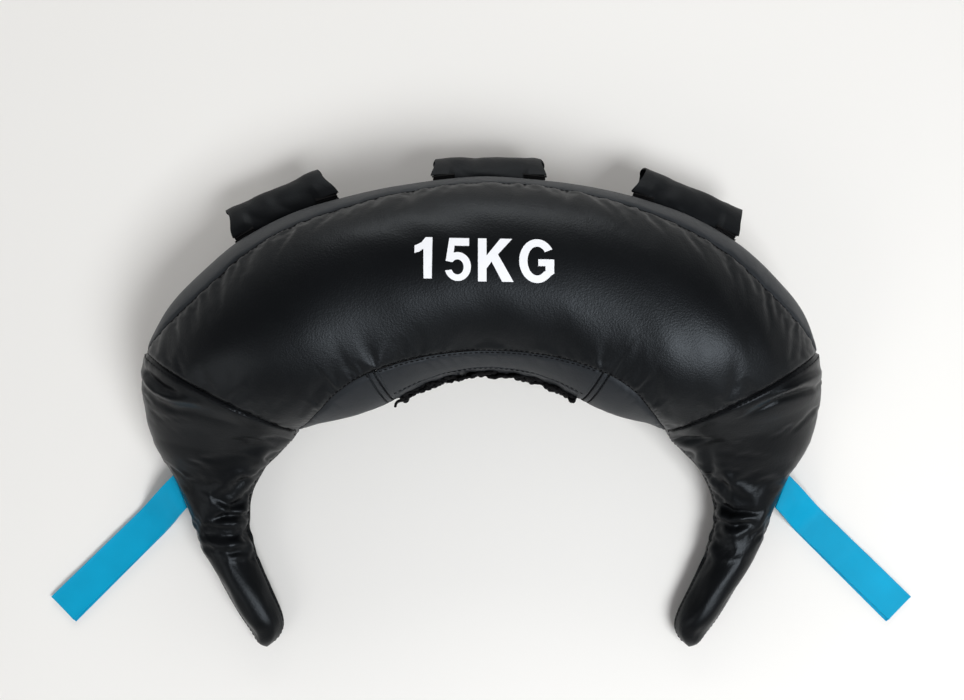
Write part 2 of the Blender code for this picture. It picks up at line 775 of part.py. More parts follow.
def main():
    clear_scene()
    leather = make_material("cover leather", (0.018, 0.019, 0.021), 0.42)
    horn_leather = make_material("horn leather", (0.016, 0.017, 0.020), 0.34)
    wadding = make_material("wadding", (0.55, 0.54, 0.50), 0.95)
    canvas = make_material("pouch canvas", (0.62, 0.55, 0.42), 0.90)
    cord = make_material("lace cord", (0.010, 0.010, 0.011), 0.80)
    foam = make_material("handle foam", (0.10, 0.10, 0.11), 0.95)
    webbing = make_material("handle webbing", (0.020, 0.020, 0.022), 0.75)
    ribbon = make_material("wrist strap webbing", (0.000, 0.300, 0.440), 0.45)

    cover = build_belly_cover(leather)
    build_belly_filling(wadding, canvas)
    build_lace(cord, (cover["mouth_facing_front"], cover["mouth_facing_rear"]))
    handles = (
        ("left_handle", LEFT_HANDLE_RIB, LEFT_HANDLE_DROOP),
        ("middle_handle", 0.0, MIDDLE_HANDLE_DROOP),
        ("right_handle", RIGHT_HANDLE_RIB, RIGHT_HANDLE_DROOP),
    )
    for name, rib, droop in handles:
        matrix = build_handle(name, rib, droop, leather, foam, webbing)
        report(name, matrix.translation, matrix.col[0].xyz)
    for side_name, side in (("left", -1), ("right", 1)):
        pivot = centre_line(side * HORN_RIB)
        horn = empty_at(f"{side_name}_horn_bend", pivot)
        build_horn(side_name, side, horn_leather, wadding, horn)
        report(f"{side_name}_horn", pivot, (0, 0, 1))
        root, line = strap_root(side)
        fold = empty_at(f"{side_name}_strap_fold", root, horn)
        build_strap(side_name, side, ribbon, fold)
        report(f"{side_name}_wrist_strap", root, line)


main()
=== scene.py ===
"""Bulgarian bag, dressed in leather-like cover, lace, padded grab handles and satin wrist loops.

The bag lies flat with its front panel up. Its shape is one surface over ribs, numbered from the
middle of the belly (0) past the horn seams (7) to the horn tips (17), positive to the right.
Each panel is a grid laid over that surface, pulled in and puckered along its own seams.
"""

import math

import bmesh
import bpy
import numpy as np
from bpy.props import FloatProperty, FloatVectorProperty, PointerProperty
from mathutils import Matrix, Vector
from mathutils.bvhtree import BVHTree


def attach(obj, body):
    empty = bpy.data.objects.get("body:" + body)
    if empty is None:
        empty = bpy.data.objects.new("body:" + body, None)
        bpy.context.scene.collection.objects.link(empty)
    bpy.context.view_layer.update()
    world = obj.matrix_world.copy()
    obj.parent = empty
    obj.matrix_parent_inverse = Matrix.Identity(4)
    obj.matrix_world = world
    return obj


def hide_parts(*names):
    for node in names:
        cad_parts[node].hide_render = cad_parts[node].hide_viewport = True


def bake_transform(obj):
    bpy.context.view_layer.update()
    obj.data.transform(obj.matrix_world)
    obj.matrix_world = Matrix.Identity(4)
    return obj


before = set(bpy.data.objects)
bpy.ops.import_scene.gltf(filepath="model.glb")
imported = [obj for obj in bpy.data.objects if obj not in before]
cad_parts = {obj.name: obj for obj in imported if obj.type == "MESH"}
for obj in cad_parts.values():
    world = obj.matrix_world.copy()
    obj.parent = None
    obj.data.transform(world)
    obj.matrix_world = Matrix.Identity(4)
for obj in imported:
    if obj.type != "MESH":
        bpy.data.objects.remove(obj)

bl_info = {
    "name": "Bulgarian Bag",
    "version": (1, 0, 0),
    "blender": (4, 5, 0),
    "location": "3D View > Sidebar > Bulgarian Bag",
    "description": "Builds a sand-filled crescent training bag with handles and wrist loops",
    "category": "Add Mesh",
}

# The bag's form, as its solids have it
BAG_WIDTH = 0.640
BAG_DEPTH = 0.455
BELLY_HEIGHT = 0.165
MIDDLE_SHIFT = 0.0065
TIP_SHIFT = 0.004
SAG_SHARE = 0.14
FLOOR_BLEND_SHARE = 0.07
HORN_RIB = 7
LAST_RIB = 16
TIP_RIB = 17
MOUTH_RIB = 2.75
LEFT_HANDLE_RIB = -3.06
RIGHT_HANDLE_RIB = 2.97
OUTER_EDGE_SHARES = (
    (0.000, 0.000), (0.236, 0.016), (0.412, 0.041), (0.578, 0.078), (0.724, 0.135), (0.839, 0.204),
    (0.925, 0.273), (0.980, 0.354), (0.999, 0.428), (1.000, 0.478), (0.984, 0.543), (0.947, 0.604),
    (0.895, 0.695), (0.846, 0.783), (0.782, 0.871), (0.726, 0.940), (0.689, 0.978),
)
INNER_EDGE_SHARES = (
    (0.000, 0.397), (0.112, 0.407), (0.200, 0.429), (0.284, 0.462), (0.362, 0.484), (0.431, 0.498),
    (0.488, 0.507), (0.540, 0.520), (0.562, 0.537), (0.602, 0.565), (0.660, 0.610), (0.704, 0.664),
    (0.711, 0.731), (0.687, 0.796), (0.643, 0.869), (0.608, 0.927), (0.603, 0.961),
)
TIP_SHARE = (0.653, 1.000)
THICKNESS_SHARES = (
    1.000, 1.000, 0.995, 0.985, 0.970, 0.940, 0.890, 0.810, 0.700,
    0.590, 0.480, 0.385, 0.315, 0.275, 0.245, 0.215, 0.160,
)
OUTER_STRIP_SHARES = (0.76, 0.78, 0.84, 0.92, 0.98, 1.00, 0.85, 0.42)
INNER_STRIP_SHARES = (0.80, 0.85, 0.93, 1.00, 0.90, 0.66, 0.38, 0.08)
OUTER_GUSSET_WIDTH = 0.116
INNER_GUSSET_WIDTH = 0.140
COVER_THICKNESS = 0.002
SEAM_GAP = 0.0003

# Handles, and how they hang
HANDLE_LENGTH = 0.105
HANDLE_DEPTH = 0.030
HANDLE_THICKNESS = 0.022
FINGER_GAP = 0.010
WEBBING_THICKNESS = 0.0025
WEBBING_LEG_WIDTH = 0.020
WEBBING_SPAN = 0.104
FOOT_THICKNESS = 0.0015
FOOT_HEIGHT = 0.018
LEFT_HANDLE_DROOP = 45.0
MIDDLE_HANDLE_DROOP = 68.0
RIGHT_HANDLE_DROOP = 50.0
HANDLES = (
    ("left_handle", LEFT_HANDLE_RIB, LEFT_HANDLE_DROOP),
    ("middle_handle", 0.0, MIDDLE_HANDLE_DROOP),
    ("right_handle", RIGHT_HANDLE_RIB, RIGHT_HANDLE_DROOP),
)

# Wrist loops
STRAP_WIDTH = 0.032
STRAP_LENGTH = 0.170
STRAP_THICKNESS = 0.0012
STRAP_LAYER_GAP = 0.0016
STRAP_ROOT_GAP = 0.0003
STRAP_DROP_LENGTH = 0.050
STRAP_BLEND_LENGTH = 0.030
STRAP_HEADING = 224.0
STRAP_RIB = 11.6

# Lace
LACE_DIAMETER = 0.004
LACE_HALF_HEIGHT = 0.007
LACE_TURNS = 9

# The photograph's camera, straight above the bag
CAMERA_PLACE = (0.0, -0.0707, 1.10)
CAMERA_LENS = 41.0

SIDES = (("left", -1), ("right", 1))

HALF_WIDTH = BAG_WIDTH / 2
HALF_THICKNESS = BELLY_HEIGHT / (2 - SAG_SHARE)
MIDDLE_DOWN = BAG_DEPTH * INNER_EDGE_SHARES[0][1] / 2


class BagSettings(bpy.types.PropertyGroup):
    """Sizes and colours that a user would change."""

    pucker_height: FloatProperty(
        name="Pucker height", description="How high the cover gathers along its main seam",
        default=0.0012, min=0.0, max=0.004, unit="LENGTH")
    seam_depth: FloatProperty(
        name="Seam depth", description="How deep a seam pulls the filled cover in",
        default=0.0020, min=0.0, max=0.005, unit="LENGTH")
    stitch_pitch: FloatProperty(
        name="Stitch pitch", description="Distance from one stitch to the next",
        default=0.0048, min=0.003, max=0.010, unit="LENGTH")
    swell_limit: FloatProperty(
        name="Swell limit", description="Furthest that the simulated cover may move",
        default=0.005, min=0.0, max=0.010, unit="LENGTH")
    leather_colour: FloatVectorProperty(
        name="Leather", description="Colour of the coated leather cover", subtype="COLOR",
        size=3, default=(0.0016, 0.0018, 0.0021), min=0.0, max=1.0)
    strap_colour: FloatVectorProperty(
        name="Wrist loops", description="Colour of the satin webbing", subtype="COLOR",
        size=3, default=(0.000, 0.330, 0.560), min=0.0, max=1.0)
    mark_colour: FloatVectorProperty(
        name="Weight mark", description="Colour of the printed weight", subtype="COLOR",
        size=3, default=(0.86, 0.87, 0.90), min=0.0, max=1.0)
    floor_colour: FloatVectorProperty(
        name="Floor", description="Colour of the pale floor", subtype="COLOR",
        size=3, default=(0.87, 0.855, 0.825), min=0.0, max=1.0)


# The surface of the bag, for whole arrays of places at once

def eased(share):
    """A share from 0 to 1, made to start and to end slowly."""
    return share * share * (3 - 2 * share)


def curve_between(before, low, high, after, share):
    """A smooth curve from low to high that heeds the values on either side of them."""
    smooth = low + (high - low) * share * share * (3 - 2 * share)
    smooth = smooth + (high - before) / 2 * share * (1 - share) ** 2
    return smooth - (after - low) / 2 * share * share * (1 - share)


def curve_at(values, rib, mirror):
    """A smooth curve through one value per rib; ribs on the left hold mirror times the value."""
    values = np.asarray(values, float)
    last = len(values) - 1
    place = np.minimum(np.abs(rib), last)
    start = np.minimum(place.astype(int), last - 1)
    ends = np.concatenate(([mirror * values[1]], values, [2 * values[-1] - values[-2]]))
    smooth = curve_between(*(ends[start + step] for step in range(4)), place - start)
    return np.where(np.asarray(rib) < 0, mirror * smooth, smooth)


def sideways(rib):
    """The soft bag doesn't lie quite true: its middle is pushed right and its tips left."""
    size = np.abs(rib)
    belly = MIDDLE_SHIFT * (1 - (size / HORN_RIB) ** 2)
    horn = -TIP_SHIFT * ((size - HORN_RIB) / (TIP_RIB - HORN_RIB)) ** 2
    return np.where(size <= HORN_RIB, belly, horn)


def plan_point(share_x, share_down, rib):
    """A point of the plan, from its shares of half the bag's width and of its depth."""
    x = HALF_WIDTH * share_x + sideways(rib)
    return np.stack((x, MIDDLE_DOWN - BAG_DEPTH * share_down), -1)


def edge_point(shares, rib):
    across = curve_at([pair[0] for pair in shares], rib, -1)
    down = curve_at([pair[1] for pair in shares], rib, 1)
    return plan_point(across, down, rib)


def half_thickness(rib):
    return HALF_THICKNESS * curve_at(THICKNESS_SHARES, rib, 1)


def soft_floor(height):
    """Height over half thickness where the floor holds the bag up, and its slope."""
    blend = FLOOR_BLEND_SHARE
    share = np.clip((height + blend) / (2 * blend), 0, 1)
    low = (height + blend) ** 2 / (4 * blend)
    raised = np.where(height < blend, np.where(height > -blend, low, 0.0), height)
    return raised, share


def bag_surface(rib, angle, depth=0.0):
    """Points of the bag, at a depth under its surface.

    The angle is 0 on the outer edge, a quarter turn on the front, half a turn on the inner edge.
    """
    places = (np.asarray(item, float) for item in (rib, angle, depth))
    rib, angle, depth = np.broadcast_arrays(*places)
    side = np.where(rib < 0, -1.0, 1.0)
    full = side * np.minimum(np.abs(rib), LAST_RIB)
    outer = edge_point(OUTER_EDGE_SHARES, full)
    inner = edge_point(INNER_EDGE_SHARES, full)
    centre = (outer + inner) / 2
    half_width = np.linalg.norm(outer - inner, axis=-1) / 2
    thick = half_thickness(full)
    raised, slope = soft_floor(1 - SAG_SHARE + np.sin(angle))
    lean = thick * slope * np.cos(angle)
    rise = half_width * np.sin(angle)
    length = np.hypot(lean, rise) + 1e-12
    across = half_width * np.cos(angle) - depth * lean / length
    height = thick * raised - depth * rise / length
    cap = np.clip(np.abs(rib) - LAST_RIB, 0, 1)
    shrink = np.sqrt(1 - cap * cap)
    middle = thick * (1 - SAG_SHARE)
    height = middle + (height - middle) * shrink
    reach = plan_point(side * TIP_SHARE[0], TIP_SHARE[1] + 0 * rib, rib) - centre
    length = np.linalg.norm(reach, axis=-1)
    centre = centre + reach * (cap * (1 - depth / length))[..., None]
    line = (outer - inner) / (2 * half_width[..., None])
    place = centre + line * (across * shrink)[..., None]
    return np.concatenate((place, np.maximum(height, 0.0)[..., None]), -1)


def bag_point(rib, angle, depth=0.0):
    return Vector(bag_surface(rib, angle, depth).tolist())


def outer_seam(rib):
    return OUTER_GUSSET_WIDTH / 2 * curve_at(OUTER_STRIP_SHARES, rib, 1) / half_thickness(rib)


def inner_seam(rib):
    return INNER_GUSSET_WIDTH / 2 * curve_at(INNER_STRIP_SHARES, rib, 1) / half_thickness(rib)


def outer_edge(rib):
    return bag_point(rib, 0.0)


def inner_edge(rib):
    return bag_point(rib, math.pi)


def rib_after(rib, distance, line):
    """The rib that lies a distance further along an edge of the bag, to either side."""
    step = math.copysign(1 / 64, distance)
    left = abs(distance)
    while left > 0:
        length = (line(rib + step) - line(rib)).length
        if length >= left:
            return rib + step * left / length
        left -= length
        rib += step
    return rib


def seam_middle(side):
    """The middle of a horn's seam, and the unit way from it towards the horn."""
    rib = side * HORN_RIB
    outer, inner = outer_edge(rib), inner_edge(rib)
    line = (outer - inner).normalized()
    square = Vector((-line.y, line.x, 0))
    onward = outer_edge(rib + side) - outer
    if square.dot(onward) < 0:
        square = -square
    return (outer + inner) / 2, square


# Noise and seams

NOISE_CELLS = 64

# The first seed of each kind of piece; sides, turns and counts are added to it
SEEDS = {
    "front": 100, "rear": 200, "outer gusset": 300, "inner gusset": 340, "lip": 400,
    "winding": 510, "crossing": 520, "strand": 530, "strand depth": 540, "strand radius": 550,
    "horn": 600, "pouch": 700, "stuffing": 720, "tab": 810, "grip": 820, "loop": 900,
}
GRIP_SEED_STEP = 7

# Gathers at a seam: how long a fold is, how its place and its strength drift along the seam,
# and how far from the seam it begins; then the same for the larger folds behind, as rates
FOLD_LENGTH = 0.045
FOLD_DRIFT = (0.35, 0.05, 0.03, 1)
FOLD_STRENGTH = (0.4, 0.06, 1.0, 3)
FOLD_START = 0.0028
LARGE_FOLD_START = 0.006
LARGE_FOLD_RATE = 0.45
LARGE_FOLD_REACH = 2.2
LARGE_FOLD_SHARE = 0.35

# How far a seam's pull reaches: in general, in the narrow groove of a seam and in its wide one
PULL_REACH = 0.0024
GROOVE_REACH = 0.0013
WIDE_GROOVE_REACH = 0.006
WIDE_GROOVE_SHARE = 0.3

# A crease fades over this share of its line at each end, and has a ridge beside its valley
CREASE_FADE = 0.03
CREASE_FADE_POWER = 0.6
RIDGE_HEIGHT, RIDGE_PLACE, RIDGE_WIDTH = 0.75, 2.1, 1.5


def soft_noise(x, y, seed):
    """A smooth random field from -1 to 1, with one cell to each unit."""
    table = np.random.default_rng(seed).uniform(-1, 1, (NOISE_CELLS, NOISE_CELLS))
    x, y = np.broadcast_arrays(np.asarray(x, float), np.asarray(y, float))
    left, low = np.floor(x).astype(int), np.floor(y).astype(int)
    share_x, share_y = eased(x - left), eased(y - low)

    def corner(right, up):
        return table[(left + right) % NOISE_CELLS, (low + up) % NOISE_CELLS]

    bottom = corner(0, 0) * (1 - share_x) + corner(1, 0) * share_x
    top = corner(0, 1) * (1 - share_x) + corner(1, 1) * share_x
    return bottom * (1 - share_y) + top * share_y


def ripple(x, y, wave, seed):
    """Soft noise by a wave's height, its lengths along x and y, and its own step to the seed."""
    height, length_x, length_y, step = wave
    return height * soft_noise(x / length_x, y / length_y, seed + step)


def folds(x, y, seed, sill=0.55):
    """Rounded bulges with sharp creases between them, which the sill lets down."""
    return np.abs(soft_noise(x, y, seed)) * 2 - sill


def hill(distance, reach, power=2):
    """1 at no distance, falling smoothly to nothing past a reach."""
    return np.exp(-(distance / reach) ** power)


def runs(points):
    """How far each point of a grid lies from its four edges, along the sheet."""
    along = np.linalg.norm(np.diff(points, axis=0), axis=2)
    across = np.linalg.norm(np.diff(points, axis=1), axis=2)
    start = np.concatenate((np.zeros((1, points.shape[1])), np.cumsum(along, 0)))
    low = np.concatenate((np.zeros((points.shape[0], 1)), np.cumsum(across, 1)), 1)
    return start, start[-1:] - start, low, low[:, -1:] - low


def gathers(distance, run, seed, height, reach, pitch):
    """Folds across a seam, strongest beside it, with larger ones behind them."""
    drift = ripple(run, distance, FOLD_DRIFT, seed)
    small = folds(run / pitch + drift, distance / FOLD_LENGTH, seed)
    large = folds(run / pitch * LARGE_FOLD_RATE, distance / (2 * FOLD_LENGTH), seed + 2)
    own = 1 - FOLD_STRENGTH[0] + ripple(run, 0, FOLD_STRENGTH, seed)
    near = np.exp(-distance / (reach * own)) * (1 - hill(distance, FOLD_START))
    far = np.exp(-distance / (reach * LARGE_FOLD_REACH))
    far = far * (1 - np.exp(-distance / LARGE_FOLD_START))
    return height * (near * small + LARGE_FOLD_SHARE * far * large)


def edge_gathers(points, edges, seed, height):
    """Gathers at edges of a sheet, each with its share of height, reach, pitch and seed step."""
    start, end, low, high = runs(points)
    ways = {"low": (low, start[:, :1]), "high": (high, start[:, -1:]),
            "start": (start, low), "end": (end, low)}
    return sum(gathers(*ways[edge], seed + step, share * height, reach, pitch)
               for edge, (share, reach, pitch, step) in edges.items())


def pull_in(distance, depth, reach=PULL_REACH):
    return -depth * np.exp(-distance / reach)


def crease(points, paths, depth, width):
    """Folds along lines in the photograph's frame: a sharp valley by a soft ridge."""
    field = np.zeros(points.shape[:2])
    for path, strength in paths:
        places = np.array([under_pixel(*pixel, HORN_FOLD_HEIGHT) for pixel in path])
        nearest = np.full(field.shape, np.inf)
        fade = np.zeros(field.shape)
        for index, (first, last) in enumerate(zip(places, places[1:])):
            way = last - first
            share = ((points[..., :2] - first) @ way) / (way @ way)
            held = np.clip(share, 0, 1)
            gap = points[..., :2] - (first + held[..., None] * way)
            side = np.sign(gap[..., 0] * way[1] - gap[..., 1] * way[0])
            distance = np.linalg.norm(gap, axis=-1)
            closer = distance < np.abs(nearest)
            nearest = np.where(closer, distance * np.where(side == 0, 1, side), nearest)
            part = (index + held) / (len(places) - 1) * (1 - 2 * CREASE_FADE) + CREASE_FADE
            tail = np.sin(math.pi * np.clip(part, 0, 1)) ** CREASE_FADE_POWER
            fade = np.where(closer, tail, fade)
        valley = -hill(nearest, width)
        ridge = RIDGE_HEIGHT * hill(nearest - RIDGE_PLACE * width, RIDGE_WIDTH * width)
        field += strength * depth * fade * (valley + ridge)
    return field


def finer(field, count):
    """Spreads rows of values over a finer count of rows, on smooth curves."""
    place = np.linspace(0, len(field) - 1, count)
    start = np.minimum(place.astype(int), len(field) - 2)
    share = (place - start).reshape(-1, *[1] * (field.ndim - 1))
    ends = np.concatenate((field[:1], field, field[-1:]))
    return curve_between(*(ends[start + step] for step in range(4)), share)


def finer_grid(field, rows, columns):
    return finer(finer(field, rows).swapaxes(0, 1), columns).swapaxes(0, 1)


# Meshes

def deselect():
    bpy.ops.object.select_all(action="DESELECT")


def make_active(piece):
    deselect()
    piece.select_set(True)
    bpy.context.view_layer.objects.active = piece


def name_piece(piece, name):
    piece.name = name
    piece.data.name = name
    return piece


def vertex_places(mesh):
    places = np.empty(len(mesh.vertices) * 3, np.float32)
    mesh.vertices.foreach_get("co", places)
    return places.reshape(-1, 3)


def lay_ordered_grid(name, points):
    """Adds a grid primitive and lays it over rows and columns of points.

    Its order says, for each vertex, which of the points it lies on.
    """
    rows, columns = points.shape[0] - 1, points.shape[1] - 1
    deselect()
    bpy.ops.mesh.primitive_grid_add(
        x_subdivisions=rows, y_subdivisions=columns, size=1, location=(0, 0, 0))
    piece = name_piece(bpy.context.object, name)
    share = vertex_places(piece.data)[:, :2] + 0.5
    row, column = np.rint(share * (rows, columns)).astype(int).T
    placed = points[row, column]
    piece.data.vertices.foreach_set("co", placed.astype(np.float32).ravel())
    piece.data.update()
    return piece, row * (columns + 1) + column


def lay_grid(name, points):
    return lay_ordered_grid(name, points)[0]


def edit(piece, *steps):
    """Runs edit-mode steps on the whole mesh of a piece."""
    make_active(piece)
    bpy.ops.object.mode_set(mode="EDIT")
    bpy.ops.mesh.select_all(action="SELECT")
    for step in steps:
        step()
    bpy.ops.object.mode_set(mode="OBJECT")


# Vertices nearer than this become one
WELD_DISTANCE = 0.00002


def flip():
    bpy.ops.mesh.flip_normals()


def weld():
    bpy.ops.mesh.remove_doubles(threshold=WELD_DISTANCE)
    bpy.ops.mesh.dissolve_degenerate(threshold=WELD_DISTANCE / 2)


def outward():
    bpy.ops.mesh.normals_make_consistent(inside=False)


def add_modifier(piece, kind, **settings):
    make_active(piece)
    bpy.ops.object.modifier_add(type=kind)
    modifier = piece.modifiers[-1]
    for key, value in settings.items():
        setattr(modifier, key, value)
    bpy.ops.object.modifier_apply(modifier=modifier.name)


def thicken(piece, thickness, **settings):
    """Gives a sheet its thickness on the inner side."""
    add_modifier(piece, "SOLIDIFY", thickness=thickness, offset=-1.0,
                 use_even_offset=False, **settings)


def smooth(piece, angle=60.0):
    make_active(piece)
    bpy.ops.object.shade_smooth_by_angle(angle=math.radians(angle))


def face_out(piece, heart):
    """Turns the faces of a sheet away from the heart of what it covers."""
    face = piece.data.polygons[len(piece.data.polygons) // 2]
    place = np.array(face.center)
    if np.dot(np.array(face.normal), place - heart(place)) < 0:
        edit(piece, flip)


def lay_sheet(name, points, thickness, angle=60.0):
    """A sheet over points of the belly, with its thickness on the inner side."""
    piece = lay_grid(name, points)
    face_out(piece, belly_heart)
    thicken(piece, thickness)
    smooth(piece, angle)
    return piece


def lay_closed(name, points):
    """A closed body over rings of points, each ending where it starts."""
    piece = lay_grid(name, points)
    edit(piece, weld, outward)
    return piece


def capped(points, first, last):
    """Rows of points with a point before and a point after them, as rings of no size."""
    count = points.shape[1]
    return np.concatenate((np.repeat(first, count, 1), points, np.repeat(last, count, 1)))


def dress(piece, body, slot, finish, *nodes):
    """Gives a piece its finish, the body it rides on and the solids it stands for."""
    if finish:
        piece.data.materials.clear()
        piece.data.materials.append(named_finish(finish))
    if body:
        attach(piece, body)
    if nodes:
        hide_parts(*nodes)
    return piece


# The swelling of the cover: its pressure and growth, the cloth's stiffness in its plane, how
# many frames it takes, and how far from a seam it still shows sharp folds
SWELL_PRESSURE = 4.0
SWELL_GROWTH = 0.014
SWELL_TENSION = 20
SWELL_FRAMES = 20
SEAM_REACH = 0.028
CALM_ROUNDS = 60


def swell(points, seams, pressure, limit, stiffness):
    """Blows a coarse sheet up as cloth, and returns how far each point moved.

    Its first and last row and the columns at its seams are held.
    """
    held = np.zeros(points.shape[:2], bool)
    held[[0, -1]] = True
    held[:, seams] = True
    piece, order = lay_ordered_grid("swelling_sheet", points)
    pattern = vertex_places(piece.data)
    group = piece.vertex_groups.new(name="seams")
    group.add(np.flatnonzero(held.ravel()[order]).tolist(), 1.0, "REPLACE")
    make_active(piece)
    bpy.ops.object.modifier_add(type="CLOTH")
    cloth = piece.modifiers[-1]
    cloth.settings.vertex_group_mass = "seams"
    cloth.settings.use_pressure = True
    cloth.settings.uniform_pressure_force = pressure
    cloth.settings.shrink_min = -SWELL_GROWTH
    cloth.settings.tension_stiffness = SWELL_TENSION
    cloth.settings.compression_stiffness = SWELL_TENSION
    cloth.settings.bending_stiffness = stiffness
    cloth.settings.effector_weights.gravity = 0
    cloth.point_cache.frame_end = SWELL_FRAMES
    scene = bpy.context.scene
    for frame_number in range(1, SWELL_FRAMES + 1):
        scene.frame_set(frame_number)
    swollen = piece.evaluated_get(bpy.context.evaluated_depsgraph_get())
    moved = vertex_places(swollen.data) - pattern
    length = np.linalg.norm(moved, axis=1, keepdims=True) + 1e-9
    moved = moved / length * limit * np.tanh(length / limit)
    bpy.data.objects.remove(piece, do_unlink=True)
    scene.frame_set(1)
    field = np.zeros((len(order), 3))
    field[order] = moved
    return field.reshape(points.shape)


def calm_middle(moved, points):
    """Keeps the sharp folds of a swollen sheet to its seams and evens out the rest."""
    nearest = np.minimum.reduce(runs(points))
    even = moved.copy()
    for _ in range(CALM_ROUNDS):
        even[1:-1] += 0.5 * ((even[:-2] + even[2:]) / 2 - even[1:-1])
        even[:, 1:-1] += 0.5 * ((even[:, :-2] + even[:, 2:]) / 2 - even[:, 1:-1])
    share = hill(nearest, SEAM_REACH)[..., None]
    return share * moved + (1 - share) * even


def spread(low, high, count):
    """Angles from one seam to another: a row for each rib."""
    share = np.linspace(0, 1, count)
    return low[:, None] + (high - low)[:, None] * share


# Shader writing

class Wire:
    """A socket in a material. Sums of wires add the Math nodes that they need."""

    def __init__(self, finish, socket):
        self.finish = finish
        self.socket = socket

    def join(self, operation, first, second):
        return self.finish.node("ShaderNodeMath", {"operation": operation}, {0: first, 1: second})

    def __add__(self, other):
        return self.join("ADD", self, other)

    __radd__ = __add__

    def __sub__(self, other):
        return self.join("SUBTRACT", self, other)

    def __rsub__(self, other):
        return self.join("SUBTRACT", other, self)

    def __mul__(self, other):
        return self.join("MULTIPLY", self, other)

    __rmul__ = __mul__

    def __pow__(self, other):
        return self.join("POWER", self, other)


class Finish:
    """A material built round its Principled shader."""

    def __init__(self, name, **constants):
        self.material = bpy.data.materials.new(name)
        self.material.use_nodes = True
        self.tree = self.material.node_tree
        self.shader = self.tree.nodes["Principled BSDF"]
        for key, value in constants.items():
            self.shader.inputs[key.replace("_", " ")].default_value = value

    def node(self, kind, settings=None, inputs=None, output=0):
        """Adds any node: its settings first, then the values or wires of its sockets."""
        made = self.tree.nodes.new(kind)
        for key, value in (settings or {}).items():
            if key == "stops":
                self.set_stops(made.color_ramp, value)
            else:
                setattr(made, key, value)
        for key, value in (inputs or {}).items():
            if isinstance(value, Wire):
                self.tree.links.new(value.socket, made.inputs[key])
            else:
                made.inputs[key].default_value = value
        return Wire(self, made.outputs[output])

    @staticmethod
    def set_stops(ramp, stops):
        while len(ramp.elements) < len(stops):
            ramp.elements.new(0.5)
        for element, (place, colour) in zip(ramp.elements, stops):
            element.position = place
            element.color = colour

    def feed(self, socket, wire):
        self.tree.links.new(wire.socket, self.shader.inputs[socket])

    def place(self):
        return self.node("ShaderNodeTexCoord", output="Object")

    def noise(self, place, scale, detail=2.0, roughness=0.5):
        return self.node("ShaderNodeTexNoise", None, {
            "Vector": place, "Scale": scale, "Detail": detail, "Roughness": roughness})

    def mix(self, share, first, second):
        return self.node("ShaderNodeMix", {"data_type": "RGBA"}, {
            0: share, 6: first, 7: second}, output=2)

    def bump(self, height, strength, distance):
        wire = self.node("ShaderNodeBump", None, {
            "Strength": strength, "Distance": distance, "Height": height})
        self.feed("Normal", wire)


def shade(colour, factor):
    return (*[min(1.0, part * factor) for part in colour], 1.0)


def leather(name, colour, roughness, crease_height, index):
    """Coated leather: a fine grain, faint creases and a patchy, cool low sheen."""
    finish = Finish(name, IOR=index, Specular_Tint=(0.84, 0.92, 1.0, 1.0))
    place = finish.place()
    patches = finish.noise(place, 16.0, 3.0)
    fine = finish.noise(place, 260.0, 3.0)
    finish.feed("Base Color", finish.mix(patches, shade(colour, 0.70), shade(colour, 1.45)))
    finish.feed("Roughness", 0.12 * patches + 0.06 * fine + (roughness - 0.08))
    pebbles = finish.node("ShaderNodeTexVoronoi", {"feature": "SMOOTH_F1"}, {
        "Vector": place, "Scale": 620.0, "Smoothness": 0.6})
    creases = finish.noise(place, 70.0, 4.0, 0.62)
    finish.bump(pebbles * 0.22 + fine * 0.12 + creases * crease_height, 0.40, 0.0010)
    return finish.material


def fibrous(name, colour, scale, detail, tones, relief, **constants):
    """Cord, thread, foam and loose cloth: one noise gives both the tone and the relief."""
    finish = Finish(name, **constants)
    fibres = finish.noise(finish.place(), scale, detail)
    finish.feed("Base Color", finish.mix(fibres, *(shade(colour, tone) for tone in tones)))
    finish.bump(fibres, *relief)
    return finish.material


def cord_finish(name, colour):
    return fibrous(name, colour, 900.0, 2.0, (0.6, 2.0), (0.7, 0.0006),
                   Roughness=0.78, Specular_IOR_Level=0.12)


def loose_fabric(name, colour, scale):
    return fibrous(name, colour, scale, 4.0, (0.75, 1.1), (0.5, 0.001), Roughness=0.92)


def woven(name, colour, pitch, roughness):
    """Narrow webbing: ribs across it and warp threads along it, on the piece's own map."""
    finish = Finish(name, Specular_IOR_Level=0.12)
    along = finish.node("ShaderNodeSeparateXYZ", None, {
        0: finish.node("ShaderNodeUVMap", {"uv_map": "UVMap"})})
    across = Wire(finish, along.socket.node.outputs[1])
    rate = math.tau / pitch
    ribs, warp = (finish.node("ShaderNodeMath", {"operation": "SINE"}, {0: phase})
                  for phase in (along * rate, across * (rate * 1.4)))
    weave = ribs * warp * 0.25 + 0.5 + ribs * 0.15
    patches = finish.noise(finish.place(), 22.0, 2.0)
    tone = weave * 0.45 + patches * 0.55
    finish.feed("Base Color", finish.mix(tone, shade(colour, 0.74), shade(colour, 1.30)))
    finish.feed("Roughness", roughness + 0.12 * weave)
    finish.bump(weave, 0.35, 0.0004)
    return finish.material


def print_finish(name, colour):
    """Flat white heat-transfer film, with the leather's grain just showing through."""
    finish = Finish(name, Roughness=0.55)
    place = finish.place()
    patches = finish.noise(place, 60.0, 3.0)
    finish.feed("Base Color", finish.mix(patches, shade(colour, 0.95), shade(colour, 1.03)))
    finish.bump(finish.noise(place, 400.0, 2.0), 0.18, 0.0004)
    return finish.material


